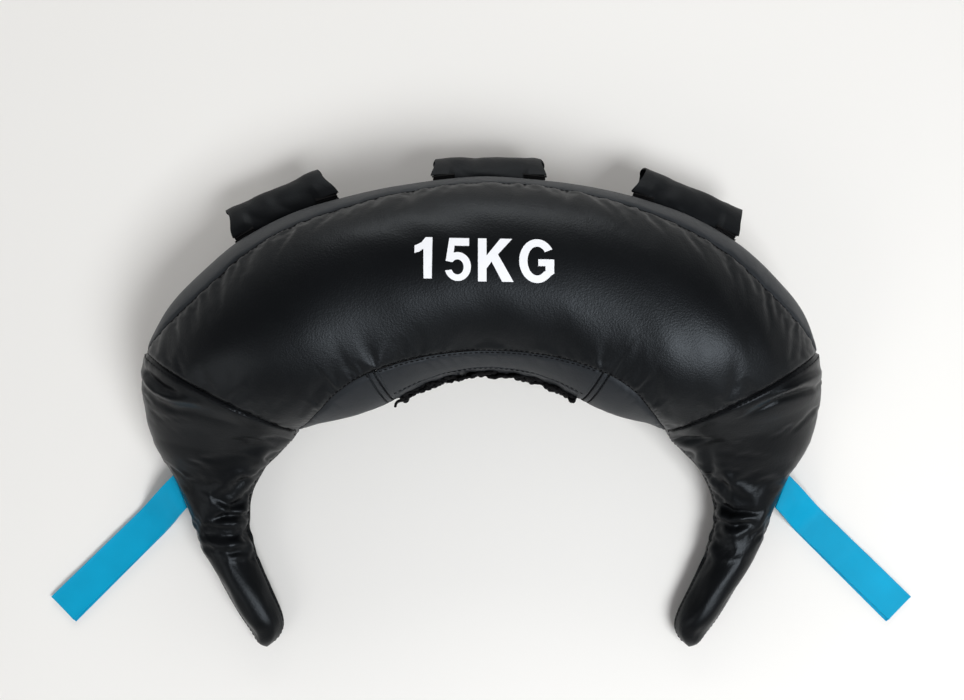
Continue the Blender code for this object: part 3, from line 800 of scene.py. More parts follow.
def named_finish(name):
    """The finish of that name, made when it is first asked for."""
    if name in bpy.data.materials:
        return bpy.data.materials[name]
    settings = bpy.context.scene.bulgarian_bag
    black = tuple(settings.leather_colour)
    # The gussets and the mouth's lips get a lighter copy of the black leather. This is partly
    # their own duller tone, and partly painted sheen that stands in for the pale floor's
    # reflection.
    own_grey_and_painted_sheen, soft_black = shade(black, 6.5)[:3], shade(black, 1.8)[:3]
    make, *recipe = {
        "belly leather": (leather, black, 0.37, 0.24, 1.31),
        # This lighter base colour is partly painted floor sheen.
        "gusset leather": (leather, own_grey_and_painted_sheen, 0.54, 0.40, 1.42),
        "mouth leather": (leather, own_grey_and_painted_sheen, 0.50, 0.40, 1.32),
        "horn leather": (leather, black, 0.34, 0.32, 1.26),
        "handle leather": (leather, soft_black, 0.50, 0.50, 1.27),
        "cut leather edge": (loose_fabric, (0.018, 0.017, 0.016), 300.0),
        "lace cord": (cord_finish, (0.0022, 0.0022, 0.0026)),
        "seam thread": (cord_finish, (0.0030, 0.0030, 0.0036)),
        "handle webbing": (woven, (0.0025, 0.0025, 0.0030), 0.02, 0.62),
        "satin webbing": (woven, tuple(settings.strap_colour), 0.006, 0.42),
        "wadding": (loose_fabric, (0.72, 0.71, 0.67), 180.0),
        "pouch canvas": (loose_fabric, (0.33, 0.31, 0.26), 700.0),
        "handle foam": (loose_fabric, (0.10, 0.10, 0.10), 500.0),
        "white film": (print_finish, tuple(settings.mark_colour)),
    }[name]
    return make(name, *recipe)


# Cover panels

SEAM_LINES = {}

# Points on the middle lines of the belly and of a horn, to find which way is outwards
BELLY_HEART_POINTS, HORN_HEART_POINTS = 141, 91

# Counts of points along and across the panels, on the finished sheet and on the swelling one
PANEL_GRID = (401, 85)
SWELL_GRID = (161, 44)
PANEL_STIFFNESS = 0.5

# Gathers at the edges of a panel, and its waves: height, lengths along and across, seed step
PANEL_GATHERS = {
    "low": (1.0, 0.011, 0.0105, 0), "high": (0.45, 0.012, 0.011, 10),
    "start": (0.7, 0.012, 0.010, 20), "end": (0.7, 0.012, 0.010, 30),
}
PANEL_WAVES = ((0.0010, 0.085, 0.075, 40), (0.0004, 0.030, 0.045, 41))

# Where the rear panel lies on the floor it is pressed flat: up to a height, and over a rise
FLAT_HEIGHT, FLAT_RISE = 0.004, 0.03


def belly_ribs(count):
    return np.linspace(-HORN_RIB, HORN_RIB, count)


def nearest_heart(ribs, place):
    """The point nearest to a place on the middle line between the bag's two edges."""
    line = (bag_surface(ribs, 0.0) + bag_surface(ribs, math.pi)) / 2
    return line[np.argmin(np.linalg.norm(line - place, axis=1))]


def belly_heart(place):
    return nearest_heart(belly_ribs(BELLY_HEART_POINTS), place)


def horn_heart(place):
    ribs = np.linspace(HORN_RIB, LAST_RIB, HORN_HEART_POINTS)
    return nearest_heart(math.copysign(1, place[0]) * ribs, place)


def keep_line(name, points, column):
    """Keeps a line of points on a finished panel, with its normals, for its stitching."""
    line = points[:, column]
    normal = np.cross(np.gradient(line, axis=0), np.gradient(points, axis=1)[:, column])
    normal /= np.linalg.norm(normal, axis=1, keepdims=True) + 1e-12
    SEAM_LINES[name] = (line.copy(), normal)


def keep_row(name, points, row):
    keep_line(name, points.swapaxes(0, 1), row)


def out_line(name, heart):
    """A kept line with its normals turned away from the heart of the bag."""
    line, normal = SEAM_LINES[name]
    middle = len(line) // 2
    way = line[middle] - heart(line[middle])
    return line, normal if np.dot(normal[middle], way) > 0 else -normal


def seam_grooves(points, settings):
    """The pull of the seams on all four edges: a narrow valley, the same on both sides."""
    nearest = np.minimum.reduce(runs(points))
    narrow = pull_in(nearest, settings.seam_depth, GROOVE_REACH)
    wide = pull_in(nearest, settings.seam_depth * WIDE_GROOVE_SHARE, WIDE_GROOVE_REACH)
    return narrow + wide


def panel_offset(points, settings, seed):
    start, _, low, _ = runs(points)
    field = seam_grooves(points, settings)
    field += edge_gathers(points, PANEL_GATHERS, seed, settings.pucker_height)
    return field + sum(ripple(start, low, wave, seed) for wave in PANEL_WAVES)


def panel_grid(turn, rows, columns):
    """The ribs and the angles of a panel, from the outer gusset's seam to the inner one's."""
    ribs = belly_ribs(rows)
    return ribs[:, None], turn * spread(outer_seam(ribs), math.pi - inner_seam(ribs), columns)


def add_panel(half, turn, settings):
    """A panel puckered at its seams; the front one is swollen as cloth where it is free."""
    rows, columns = PANEL_GRID
    ribs, angles = panel_grid(turn, rows, columns)
    points = bag_surface(ribs, angles)
    offset = panel_offset(points, settings, SEEDS[half])
    if half == "rear":
        offset *= np.clip((points[..., 2] - FLAT_HEIGHT) / FLAT_RISE, 0, 1)
    points = bag_surface(ribs, angles, -offset)
    if half == "front":
        coarse = bag_surface(*panel_grid(turn, *SWELL_GRID))
        moved = swell(coarse, [0, -1], -SWELL_PRESSURE, settings.swell_limit, PANEL_STIFFNESS)
        points = points + finer_grid(calm_middle(moved, coarse), rows, columns)
    piece = lay_sheet(f"{half}_cover", points, COVER_THICKNESS)
    keep_line(f"{half}_outer", points, 1)
    keep_line(f"{half}_inner", points, columns - 2)
    keep_row(f"{half}_left_horn", points, 1)
    keep_row(f"{half}_right_horn", points, rows - 2)
    dress(piece, "belly", "cover_leather", "belly leather", f"{half}_panel")


class BAG_OT_panels(bpy.types.Operator):
    """Adds the front and the rear cover panels"""

    bl_idname = "bag.panels"
    bl_label = "Cover Panels"

    def execute(self, context):
        add_panel("front", 1, context.scene.bulgarian_bag)
        add_panel("rear", -1, context.scene.bulgarian_bag)
        return {"FINISHED"}


# Gussets

GUSSET_GATHERS = {
    "low": (1.0, 0.010, 0.0105, 0), "high": (1.0, 0.010, 0.0105, 10),
    "start": (1.2, 0.016, 0.012, 30), "end": (1.2, 0.016, 0.012, 40),
}
GUSSET_WAVE = (0.0007, 0.05, 0.03, 20)

# The outer gusset lies flat under the handles, this many ribs to either side and this deep
CALM_RIBS = 0.75
CALM_DEPTH = 0.0001

# The inner gussets are finer beside the mouth, over these ribs. Two lines of stitches hold the
# folded seam there, in grooves, and the pull of the seam itself is weak
FINE_RIBS = 0.34
BAR_PLACES = (0.0030, 0.0085)
BAR_DEPTH, BAR_WIDTH = 0.0016, 0.0008
WEAK_PULL, WEAK_REACH = 0.8, 0.004


def near_handles(ribs):
    return np.max([hill(ribs - rib, CALM_RIBS, 6) for _, rib, _ in HANDLES], axis=0)


def add_gusset(name, node, finish, ribs, angles, seed, height, calm, mouth=None):
    """A strip between two seams, with short gathers from all its edges but the mouth's."""
    points = bag_surface(ribs[:, None], angles)
    start, end, low, _ = runs(points)
    edges = {edge: values for edge, values in GUSSET_GATHERS.items() if edge != mouth}
    field = seam_grooves(points, bpy.context.scene.bulgarian_bag)
    if mouth:
        distance = start if mouth == "start" else end
        field *= 1 - WEAK_PULL * hill(distance, WEAK_REACH)
        for place in BAR_PLACES:
            field -= BAR_DEPTH * hill(distance - place, BAR_WIDTH)
    field += edge_gathers(points, edges, seed, height)
    field += ripple(start, low, GUSSET_WAVE, seed)
    calm = calm[:, None]
    field = field * (1 - calm) + np.minimum(field, -CALM_DEPTH) * calm
    points = bag_surface(ribs[:, None], angles, -field)
    piece = lay_sheet(name, points, COVER_THICKNESS)
    dress(piece, "belly", "cover_leather", finish, node)


class BAG_OT_gussets(bpy.types.Operator):
    """Adds the outer gusset and the two inner gussets"""

    bl_idname = "bag.gussets"
    bl_label = "Gussets"

    def execute(self, context):
        ribs = belly_ribs(421)
        reach = outer_seam(ribs)
        add_gusset("outer_gusset_strip", "outer_gusset", "gusset leather", ribs,
                   spread(-reach, reach, 61), SEEDS["outer gusset"], 0.0010, near_handles(ribs))
        for side_name, side in SIDES:
            near = np.linspace(MOUTH_RIB, MOUTH_RIB + FINE_RIBS, 41)
            ribs = np.concatenate((near, np.linspace(near[-1], HORN_RIB, 106)[1:]))
            ribs = ribs if side > 0 else -ribs[::-1]
            reach = inner_seam(ribs)
            add_gusset(
                f"inner_gusset_strip_{side_name}", f"inner_gusset_{side_name}",
                "mouth leather", ribs, spread(math.pi - reach, math.pi + reach, 49),
                SEEDS["inner gusset"] + side, 0.0011, 0 * ribs, "start" if side > 0 else "end")
        return {"FINISHED"}


# Mouth

# How far the hem of each lip is stitched from its edge, and its top line from the panel
FACING_HEM = 0.026
FACING_TOP = 0.0014

# A lip: half the gap to the other one, its rolled edge and its hem's groove with their widths,
# its bulges between the turns of the lace and its crumple; all fade at the lip's ends
LIP_GAP = 0.0004
LIP_GATHERS = (0.0009, 0.010, 0.010)
LIP_ROLL, LIP_ROLL_REACH = 0.0013, 0.0032
HEM_DEPTH, HEM_WIDTH = 0.0010, 0.0009
LACE_BULGE, LACE_BULGE_REACH = 0.0011, 0.012
LIP_CRUMPLE, LIP_CRUMPLE_REACH = (0.0008, 0.009, 0.02, 20), 0.010
LIP_END_REACH = 0.004
LIP_END_PULL = 0.0005


def add_facing(side, turn):
    """One lip of the mouth, gathered where the lace pulls it, with a rolled hem."""
    ribs = np.linspace(-MOUTH_RIB, MOUTH_RIB, 181)
    seam, gap = inner_seam(ribs), LIP_GAP / half_thickness(ribs)
    angles = spread(math.pi - turn * seam, math.pi - turn * gap, 53)
    points = bag_surface(ribs[:, None], angles)
    start, end, low, high = runs(points)
    ends = np.minimum(start, end)
    wave = np.cos(math.tau * LACE_TURNS * start / start[-1].mean())
    field = pull_in(low, bpy.context.scene.bulgarian_bag.seam_depth, GROOVE_REACH)
    field += pull_in(ends, LIP_END_PULL)
    seed = SEEDS["lip"] + turn
    field += gathers(low, start, seed, *LIP_GATHERS)
    lips = LIP_ROLL * np.exp(-high / LIP_ROLL_REACH)
    lips -= HEM_DEPTH * hill(high - FACING_HEM, HEM_WIDTH)
    lips += LACE_BULGE * wave * np.exp(-high / LACE_BULGE_REACH)
    lips += np.exp(-high / LIP_CRUMPLE_REACH) * ripple(start, high, LIP_CRUMPLE, seed)
    field += lips * (1 - hill(ends, LIP_END_REACH))
    points = bag_surface(ribs[:, None], angles, -field)
    piece = lay_sheet(f"mouth_lip_{side}", points, COVER_THICKNESS)
    dress(piece, "belly", "cover_leather", "mouth leather",
          f"mouth_facing_{side}")
    keep_line(f"facing_{side}_hem", points, int(np.argmin(np.abs(high.mean(0) - FACING_HEM))))
    keep_line(f"facing_{side}_top", points, int(np.argmin(np.abs(low.mean(0) - FACING_TOP))))


class BAG_OT_mouth(bpy.types.Operator):
    """Adds the two lips of the closed filling mouth"""

    bl_idname = "bag.mouth"
    bl_label = "Mouth Facings"

    def execute(self, context):
        add_facing("front", 1)
        add_facing("rear", -1)
        return {"FINISHED"}


# Lace

# How much the lace is slackened at random: along the mouth, in height and in depth
LACE_POINTS_PER_TURN = 26
LACE_DRIFT, LACE_DRIFT_STEPS = 0.035, 9
LACE_RISE_CHANGE, LACE_RISE_STEPS = 0.12, 11
LACE_DEPTH_CHANGE, LACE_DEPTH_STEPS = 0.25, 6

# The winding and the strand that crosses it: first phase, swing past the leather's two sides,
# share of the mouth's half height, and share of the cord's radius
WINDINGS = (
    ("winding", 0.0, 0.0, 0.9, 0.85),
    ("crossing", math.pi * 0.9, 0.0004, 0.6, 0.8),
)

# Flat strands along the mouth: the phase of each one's wave, and how far out it lies
STRANDS = ((0.7, 0.0004), (2.1, 0.0014), (3.3, 0.0024), (4.4, 0.0034), (5.6, 0.0042))
STRAND_RIBS = (-MOUTH_RIB + 0.12, MOUTH_RIB - 0.10)
STRAND_RATE, STRAND_DEPTH_RATE = 5.3, 7.1
STRAND_SWAY, STRAND_SHIFT = 0.065, 0.03
STRAND_DEPTH_SWAY, STRAND_CRUMPLE = 0.0009, 0.0010
STRAND_RADIUS, STRAND_RADIUS_CHANGE = 0.0016, 0.0008

# The loose end, from the place where it leaves the last strand
LOOSE_END = (
    (0.000, 0.000, 0.000), (-0.001, 0.001, 0.004), (-0.004, 0.001, 0.006),
    (-0.007, 0.000, 0.005), (-0.009, -0.002, 0.003), (-0.010, -0.005, 0.000),
)
LOOSE_RADII = (0.0017, 0.0013)


def tube(name, points, radii, sides=10):
    """A closed tube through points, with a radius at each, made from a bent grid."""
    count = len(points)
    forward = np.gradient(points, axis=0)
    forward /= np.linalg.norm(forward, axis=1, keepdims=True) + 1e-12
    up = np.zeros_like(points)
    guide = np.array((0.13, 0.21, 0.97))
    for index in range(count):
        guide = guide - forward[index] * np.dot(guide, forward[index])
        guide /= np.linalg.norm(guide) + 1e-12
        up[index] = guide
    turns = np.linspace(0, math.tau, sides + 1)[None, :, None]
    ring = np.cos(turns) * np.cross(forward, up)[:, None] + np.sin(turns) * up[:, None]
    body = points[:, None] + ring * np.broadcast_to(radii, (count,))[:, None, None]
    return lay_closed(name, capped(body, points[:1, None], points[-1:, None]))


def join(name, pieces):
    deselect()
    for piece in pieces:
        piece.select_set(True)
    bpy.context.view_layer.objects.active = pieces[0]
    bpy.ops.object.join()
    return name_piece(bpy.context.object, name)


def lace_line(phase, swing, rise_height, seed):
    """A strand that winds round both lips of the mouth, slackened a little at random."""
    first = rib_after(-MOUTH_RIB, LACE_HALF_HEIGHT, inner_edge)
    last = rib_after(MOUTH_RIB, -LACE_HALF_HEIGHT, inner_edge)
    steps = np.arange(LACE_TURNS * LACE_POINTS_PER_TURN + 1)
    turn = math.tau * steps / LACE_POINTS_PER_TURN + phase
    drift = LACE_DRIFT * soft_noise(steps / LACE_DRIFT_STEPS, 0, seed)
    ribs = np.clip(first + (last - first) * steps / steps[-1] + drift, -MOUTH_RIB, MOUTH_RIB)
    higher = 1 + LACE_RISE_CHANGE * soft_noise(steps / LACE_RISE_STEPS, 5, seed)
    rise = rise_height * higher * np.sin(turn)
    depth = COVER_THICKNESS / 2 - swing * np.cos(turn)
    looser = 1 + LACE_DEPTH_CHANGE * soft_noise(steps / LACE_DEPTH_STEPS, 9, seed)
    depth = np.where(depth < 0, depth * looser, depth)
    return bag_surface(ribs, math.pi - rise / half_thickness(ribs), depth)


def strand_line(run, number, phase, out):
    """The wavy line of a flat strand along the mouth."""
    drift = 0.5 * soft_noise(run * 3, 0, SEEDS["strand"] + number)
    wave = np.sin(run * STRAND_RATE + phase) + drift
    depth = -out - STRAND_DEPTH_SWAY * np.cos(run * STRAND_DEPTH_RATE + phase)
    depth = depth - STRAND_CRUMPLE * soft_noise(run * 11, 4, SEEDS["strand depth"] + number)
    return bag_surface(run, math.pi - STRAND_SWAY * wave - STRAND_SHIFT, depth)


class BAG_OT_lace(bpy.types.Operator):
    """Adds the thick lace that closes the mouth, its crossing strand and its short loose end"""

    bl_idname = "bag.lace"
    bl_label = "Closing Lace"

    def execute(self, context):
        swing = COVER_THICKNESS / 2 + LACE_DIAMETER / 2
        strands = [
            tube(name, lace_line(phase, swing + more, LACE_HALF_HEIGHT * height, SEEDS[name]),
                 LACE_DIAMETER / 2 * radius)
            for name, phase, more, height, radius in WINDINGS]
        run = np.linspace(*STRAND_RIBS, 300)
        for number, (phase, out) in enumerate(STRANDS):
            line = strand_line(run, number, phase, out)
            change = soft_noise(run * 14, 0, SEEDS["strand radius"] + number)
            radii = STRAND_RADIUS + STRAND_RADIUS_CHANGE * change
            strands.append(tube(f"strand_{number}", line, radii))
        hanging = finer(line[4] + np.array(LOOSE_END), 30)
        strands.append(tube("loose", hanging, np.linspace(*LOOSE_RADII, len(hanging))))
        piece = join("closing_cord", strands)
        smooth(piece)
        dress(piece, "belly", "lace_cord", "lace cord", "closing_lace")
        return {"FINISHED"}


# Stitching

# A stitch: its share of the pitch, its radius, how far it stands out and how far it sags, and
# how many pitches the first and the last one lie from the ends of a line
STITCH_SHARE = 0.78
STITCH_RADIUS = 0.00055
STITCH_LIFT = 0.0001
STITCH_SAG_SHARE = 0.8
FIRST_STITCH, LAST_STITCH = 0.6, 0.5

# The bars' stitches lie in their grooves, this deep, and reach a little past the gusset
BAR_STITCH_DEPTH = 0.0012
BAR_STITCH_REACH = 1.02
BAR_SPAN = 0.01


def stitch_shape():
    """One stitch, modelled once: a slim rounded dash a unit long."""
    deselect()
    bpy.ops.mesh.primitive_uv_sphere_add(segments=6, ring_count=6, radius=0.5,
                                         location=(0, 0, 0), rotation=(0, math.pi / 2, 0))
    piece = bpy.context.object
    bpy.ops.object.transform_apply(rotation=True)
    points = np.array([vert.co for vert in piece.data.vertices])
    faces = [tuple(face.vertices) for face in piece.data.polygons]
    bpy.data.objects.remove(piece, do_unlink=True)
    points[:, 0] = np.sign(points[:, 0]) * np.abs(points[:, 0] * 2) ** 0.8 / 2
    return points, faces


def run_along(line):
    """How far each point of a line lies from its first, along the line."""
    steps = np.linalg.norm(np.diff(line, axis=0), axis=1)
    return np.concatenate(([0.0], np.cumsum(steps)))


def at_run(place, run, values):
    return np.array([np.interp(place, run, values[:, axis]) for axis in range(3)])


def sew(name, lines, pitch, body, radius=STITCH_RADIUS):
    """Lays stitches along lines of points, each line with its normals, in one mesh."""
    shape, faces = stitch_shape()
    x, y, z = (shape[:, axis:axis + 1] * 2 * radius for axis in range(3))
    sag = np.abs(shape[:, :1] * 2) ** 2 * radius * STITCH_SAG_SHARE
    half = pitch * STITCH_SHARE / 2
    all_points, all_faces = [], []
    for line, normal in lines:
        run = run_along(line)
        for place in np.arange(pitch * FIRST_STITCH, run[-1] - pitch * LAST_STITCH, pitch):
            low, high = at_run(place - half, run, line), at_run(place + half, run, line)
            forward = high - low
            length = np.linalg.norm(forward)
            forward /= length
            side = np.cross(at_run(place, run, normal), forward)
            side /= np.linalg.norm(side) + 1e-12
            up = np.cross(forward, side)
            centre = (low + high) / 2 + up * STITCH_LIFT
            first = len(all_points) * len(shape)
            all_points.append(centre + forward * shape[:, :1] * length + side * y + up * (z - sag))
            all_faces += [tuple(index + first for index in face) for face in faces]
    mesh = bpy.data.meshes.new(name)
    mesh.from_pydata(np.concatenate(all_points).tolist(), [], all_faces)
    piece = bpy.data.objects.new(name, mesh)
    bpy.context.scene.collection.objects.link(piece)
    edit(piece, outward)
    smooth(piece)
    return dress(piece, body, "lace_cord", "seam thread")


class BAG_OT_stitching(bpy.types.Operator):
    """Sews the belly's seams, its hems and the bars at the ends of the mouth"""

    bl_idname = "bag.stitching"
    bl_label = "Stitching"

    def execute(self, context):
        names = ("front_outer", "front_inner", "rear_outer", "rear_inner", "front_left_horn",
                 "front_right_horn", "facing_front_hem", "facing_rear_hem",
                 "facing_front_top", "facing_rear_top")
        lines = [out_line(name, belly_heart) for name in names]
        for _, side in SIDES:
            for place in BAR_PLACES:
                rib = rib_after(MOUTH_RIB, place, inner_edge)
                reach = float(inner_seam(np.array([rib]))[0]) * BAR_STITCH_REACH
                angles = np.linspace(math.pi - reach, math.pi + reach, 60)
                line, outer = (bag_surface(side * rib, angles, depth)
                               for depth in (BAR_STITCH_DEPTH, BAR_STITCH_DEPTH - BAR_SPAN))
                lines.append((line, (outer - line) / BAR_SPAN))
        sew("belly_stitching", lines, context.scene.bulgarian_bag.stitch_pitch, "belly")
        return {"FINISHED"}


# Horns

# Counts of points along a horn, before its tip and in it, and around it; then those of the
# swelling sheet, with its tip's rows, which don't swell
HORN_ROWS, TIP_ROWS, HORN_COLUMNS = 171, 14, 121
HORN_SWELL_ROWS, HORN_SWELL_COLUMNS, STIFF_ROWS = 66, 49, 6
HORN_STIFFNESS = 0.9
HORN_SWELL_SHARE = 0.7
CALM_TIP_ROWS = 70

# The horns' own seams: at the root, and a ridge in a valley along both edges
ROOT_GATHERS = (0.0012, 0.014, 0.013)
EDGE_GATHERS = (0.0011, 0.009, 0.009)
ROOT_REACH = 0.012
EDGE_DEPTH, EDGE_REACH = 0.0013, 0.0045
RIDGE_RISE, RIDGE_REACH = 0.0016, 0.0016

# Their soft cross folds, and the short ones at the thumb's bend: height, lengths, seed step
CROSS_FOLDS = (0.0010, 0.030, 0.10, 20)
THUMB_FOLDS = (0.0011, 0.012, 0.05, 30)
FOLD_SLANT = 0.2
FOLD_SILL = 0.6
THUMB_PLACE, THUMB_REACH = 0.165, 0.045
HORN_WAVE = (0.0008, 0.05, 0.03, 40)
TALL_GIRTH = 0.30

# The folds fade out before the tip: how far from it none is left, and over which length
TIP_PLAIN, TIP_FADE = 0.012, 0.040

# The horn lies nearly flat on the floor, and flat round the root of its wrist loop
HORN_FLAT_HEIGHT, HORN_FLAT_RISE, HORN_FLAT_SHARE = 0.002, 0.02, 0.15
ROOT_RIBS, ROOT_ANGLE, ROOT_DEPTH = 0.65, 1.0, 0.0012
ROOT_STITCH_GAP = 0.5

# Folds that the photograph shows on each horn, as lines in its frame, each with its strength;
# then their height over the floor, and the depth and width of their valleys
HORN_FOLDS = {
    -1: (
        (((139, 366), (154, 377), (168, 386), (186, 392)), 1.0),
        (((146, 380), (160, 392), (178, 399), (208, 400)), -1.1),
        (((226, 398), (252, 404), (276, 416)), 0.45),
        (((268, 452), (258, 462), (262, 474)), 0.8),
        (((244, 486), (232, 484), (222, 492)), 0.7),
        (((206, 506), (220, 514), (234, 510)), 0.7),
        (((200, 528), (216, 524), (236, 527)), 1.0),
        (((208, 548), (224, 546), (240, 552)), 0.6),
        (((216, 566), (228, 560)), 0.5),
        (((236, 600), (250, 592), (262, 596)), 0.3),
    ),
    1: (
        (((824, 386), (800, 390), (772, 396), (744, 410)), 1.2),
        (((826, 372), (796, 380), (764, 396)), -0.8),
        (((676, 434), (690, 442), (706, 440)), 0.9),
        (((684, 446), (700, 458), (702, 468)), 0.8),
        (((714, 452), (722, 476), (716, 496)), 0.9),
        (((730, 470), (742, 488), (744, 504)), -0.6),
        (((724, 512), (744, 520), (770, 520)), 1.0),
        (((728, 530), (748, 536), (764, 530)), 0.6),
        (((716, 556), (734, 552)), 0.5),
        (((700, 590), (718, 586)), 0.35),
    ),
}
HORN_FOLD_HEIGHT = 0.10
HORN_FOLD_DEPTH, HORN_FOLD_WIDTH = 0.0040, 0.0032


def horn_ribs(side, count):
    """Ribs of one horn, closer together where its round tip closes."""
    shaft = np.linspace(HORN_RIB, LAST_RIB, count)
    tip = LAST_RIB + np.sin(np.linspace(0, math.pi / 2, TIP_ROWS + 1)[1:])
    return side * np.concatenate((shaft, tip))


def horn_offset(points, angles, side, settings):
    """Soft cross creases near the root and at the thumb's bend, and a ridge along both edges."""
    start, end, _, _ = runs(points)
    run = start.mean(1, keepdims=True) + 0 * start
    edge = np.minimum(np.abs(np.sin(angles / 2)), np.abs(np.cos(angles / 2)))
    girth = np.linalg.norm(np.diff(points, axis=1), axis=2).sum(1, keepdims=True)
    distance = np.arcsin(np.clip(edge, 0, 1)) * girth / math.pi
    around = angles * girth / math.tau
    seed = SEEDS["horn"] + side
    tall = np.clip(girth / TALL_GIRTH, 0.25, 1)
    away = 1 - hill(start, ROOT_REACH)
    field = pull_in(distance, EDGE_DEPTH * tall, EDGE_REACH)
    field += RIDGE_RISE * hill(distance, RIDGE_REACH)
    field += gathers(distance, run, seed + 10, EDGE_GATHERS[0] * tall, *EDGE_GATHERS[1:])
    height, length, width, step = CROSS_FOLDS
    slanted = (run + FOLD_SLANT * around) / length
    field += height * tall * folds(slanted, around / width, seed + step, FOLD_SILL)
    height, length, width, step = THUMB_FOLDS
    short = folds(run / length, around / width, seed + step, FOLD_SILL)
    field += height * short * hill(run - THUMB_PLACE, THUMB_REACH)
    field += ripple(run, around, HORN_WAVE, seed)
    front = np.clip(np.sin(angles) * 3, 0, 1)
    field += crease(points, HORN_FOLDS[side], HORN_FOLD_DEPTH, HORN_FOLD_WIDTH) * front
    field = field * away + pull_in(start, settings.seam_depth)
    field += gathers(start, around, seed, *ROOT_GATHERS)
    return field * eased(np.clip((end - TIP_PLAIN) / TIP_FADE, 0, 1))


def calm_rows(points, rounds):
    """Evens out kinks from row to row, more so towards the last row, which stays."""
    weight = np.linspace(0, 1, len(points) - 2)[:, None, None] ** 0.5
    for _ in range(rounds):
        middle = (points[:-2] + points[2:]) / 2
        points[1:-1] += 0.5 * weight * (middle - points[1:-1])
    return points


def horn_swell(side, settings):
    """How far the horn's cover moves as pressed cloth, held at its root, tip and edge seams."""
    coarse_ribs = horn_ribs(side, HORN_SWELL_ROWS)[:-STIFF_ROWS]
    coarse_angles = np.linspace(0, math.tau, HORN_SWELL_COLUMNS)
    coarse = bag_surface(coarse_ribs[:, None], coarse_angles[None])
    moved = swell(coarse, [0, HORN_SWELL_COLUMNS // 2, -1], -SWELL_PRESSURE * side,
                  settings.swell_limit * HORN_SWELL_SHARE, HORN_STIFFNESS)
    moved = np.concatenate((moved, np.zeros((STIFF_ROWS, *moved.shape[1:]))))
    shaft = finer_grid(moved[:HORN_SWELL_ROWS], HORN_ROWS, HORN_COLUMNS)
    tip = finer_grid(moved[HORN_SWELL_ROWS - 1:], TIP_ROWS + 1, HORN_COLUMNS)
    return np.concatenate((shaft, tip[1:]))


def horn_points(side, ribs, angles, settings):
    """The horn's cover: creased, flat round the wrist loop's root and on the floor."""
    points = bag_surface(ribs, angles)
    offset = horn_offset(points, angles, side, settings)
    rest = np.clip((points[..., 2] - HORN_FLAT_HEIGHT) / HORN_FLAT_RISE, 0, 1)
    offset = offset * np.where(offset > 0, rest, np.maximum(rest, HORN_FLAT_SHARE))
    offset[:, -1] = offset[:, 0]
    flat = hill(np.abs(ribs) - STRAP_RIB, ROOT_RIBS, 4)
    flat = flat * hill(np.minimum(angles, math.tau - angles), ROOT_ANGLE, 4)
    offset = offset * (1 - flat) - ROOT_DEPTH * flat
    points = bag_surface(ribs, angles, -offset)
    points = points + horn_swell(side, settings) * (rest * (1 - flat))[..., None]
    points[-1] = points[-1].mean(0)
    points[-CALM_TIP_ROWS:] = calm_rows(points[-CALM_TIP_ROWS:], CALM_TIP_ROWS)
    points[:, -1] = points[:, 0]
    points[..., 2] = np.maximum(points[..., 2], 0.0)
    return points


def add_horn(side_name, side, settings):
    ribs = horn_ribs(side, HORN_ROWS)
    angles = np.broadcast_to(np.linspace(0, math.tau, HORN_COLUMNS), (len(ribs), HORN_COLUMNS))
    points = horn_points(side, ribs[:, None], angles, settings)
    piece = lay_grid(f"{side_name}_horn_leather", points)
    edit(piece, weld)
    face_out(piece, horn_heart)
    thicken(piece, COVER_THICKNESS)
    smooth(piece)
    half = (HORN_COLUMNS - 1) // 2
    above, below = (np.argmin(np.abs(np.abs(ribs) - STRAP_RIB - gap))
                    for gap in (-ROOT_STITCH_GAP, ROOT_STITCH_GAP))
    keep_line(f"{side_name}_horn_upper", points[:above], 2)
    keep_line(f"{side_name}_horn_lower", points[below:-3], 2)
    keep_line(f"{side_name}_horn_inner", points[:-3], half - 2)
    keep_row(f"{side_name}_horn_root", points[:, :half], 2)
    dress(piece, None, "horn_leather", "horn leather",
          f"{side_name}_horn_cover_front", f"{side_name}_horn_cover_rear")
    bend_with_horn(piece, side)


def bend_with_horn(piece, side):
    """Bakes the piece's place into its mesh; the middle of the horn's seam is found, but not used.
    """
    middle, onward = seam_middle(side)
    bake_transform(piece)


class BAG_OT_horns(bpy.types.Operator):
    """Adds the two grip horns and sews their edges"""

    bl_idname = "bag.horns"
    bl_label = "Horns"

    def execute(self, context):
        settings = context.scene.bulgarian_bag
        for side_name, side in SIDES:
            add_horn(side_name, side, settings)
            lines = [out_line(f"{side_name}_horn_{part}", horn_heart)
                     for part in ("upper", "lower", "inner", "root")]
            piece = sew(f"{side_name}_horn_stitching", lines, settings.stitch_pitch, None)
            bend_with_horn(piece, side)
        return {"FINISHED"}


# Filling

# The wadding: the ribs' share that it reaches, how far it stays from the mouth's middle, its
# depth under the cover, its thickness, and the quilting's depth and pitch
WADDING_REACH = 0.985
WADDING_MOUTH_GAP = 0.016
WADDING_DEPTH = 0.0065
WADDING_THICKNESS = 0.0075
QUILT_DEPTH, QUILT_PITCH = 0.0008, 0.03
QUILT_RUN_DEPTH = 0.0062

# The pouches and the horns' stuffing: depth under the cover, ends and unevenness
POUCH_COUNT = 5
POUCH_END_GAP, POUCH_GAP = 0.35, 0.04
POUCH_DEPTH, STUFFING_DEPTH = 0.0175, 0.0075
PLUG_COLUMNS = 49
PLUG_END_INSET, PLUG_END_ROWS = 0.014, 1.6
PLUG_WAVE = (0.0006, 0.02, 0.03)


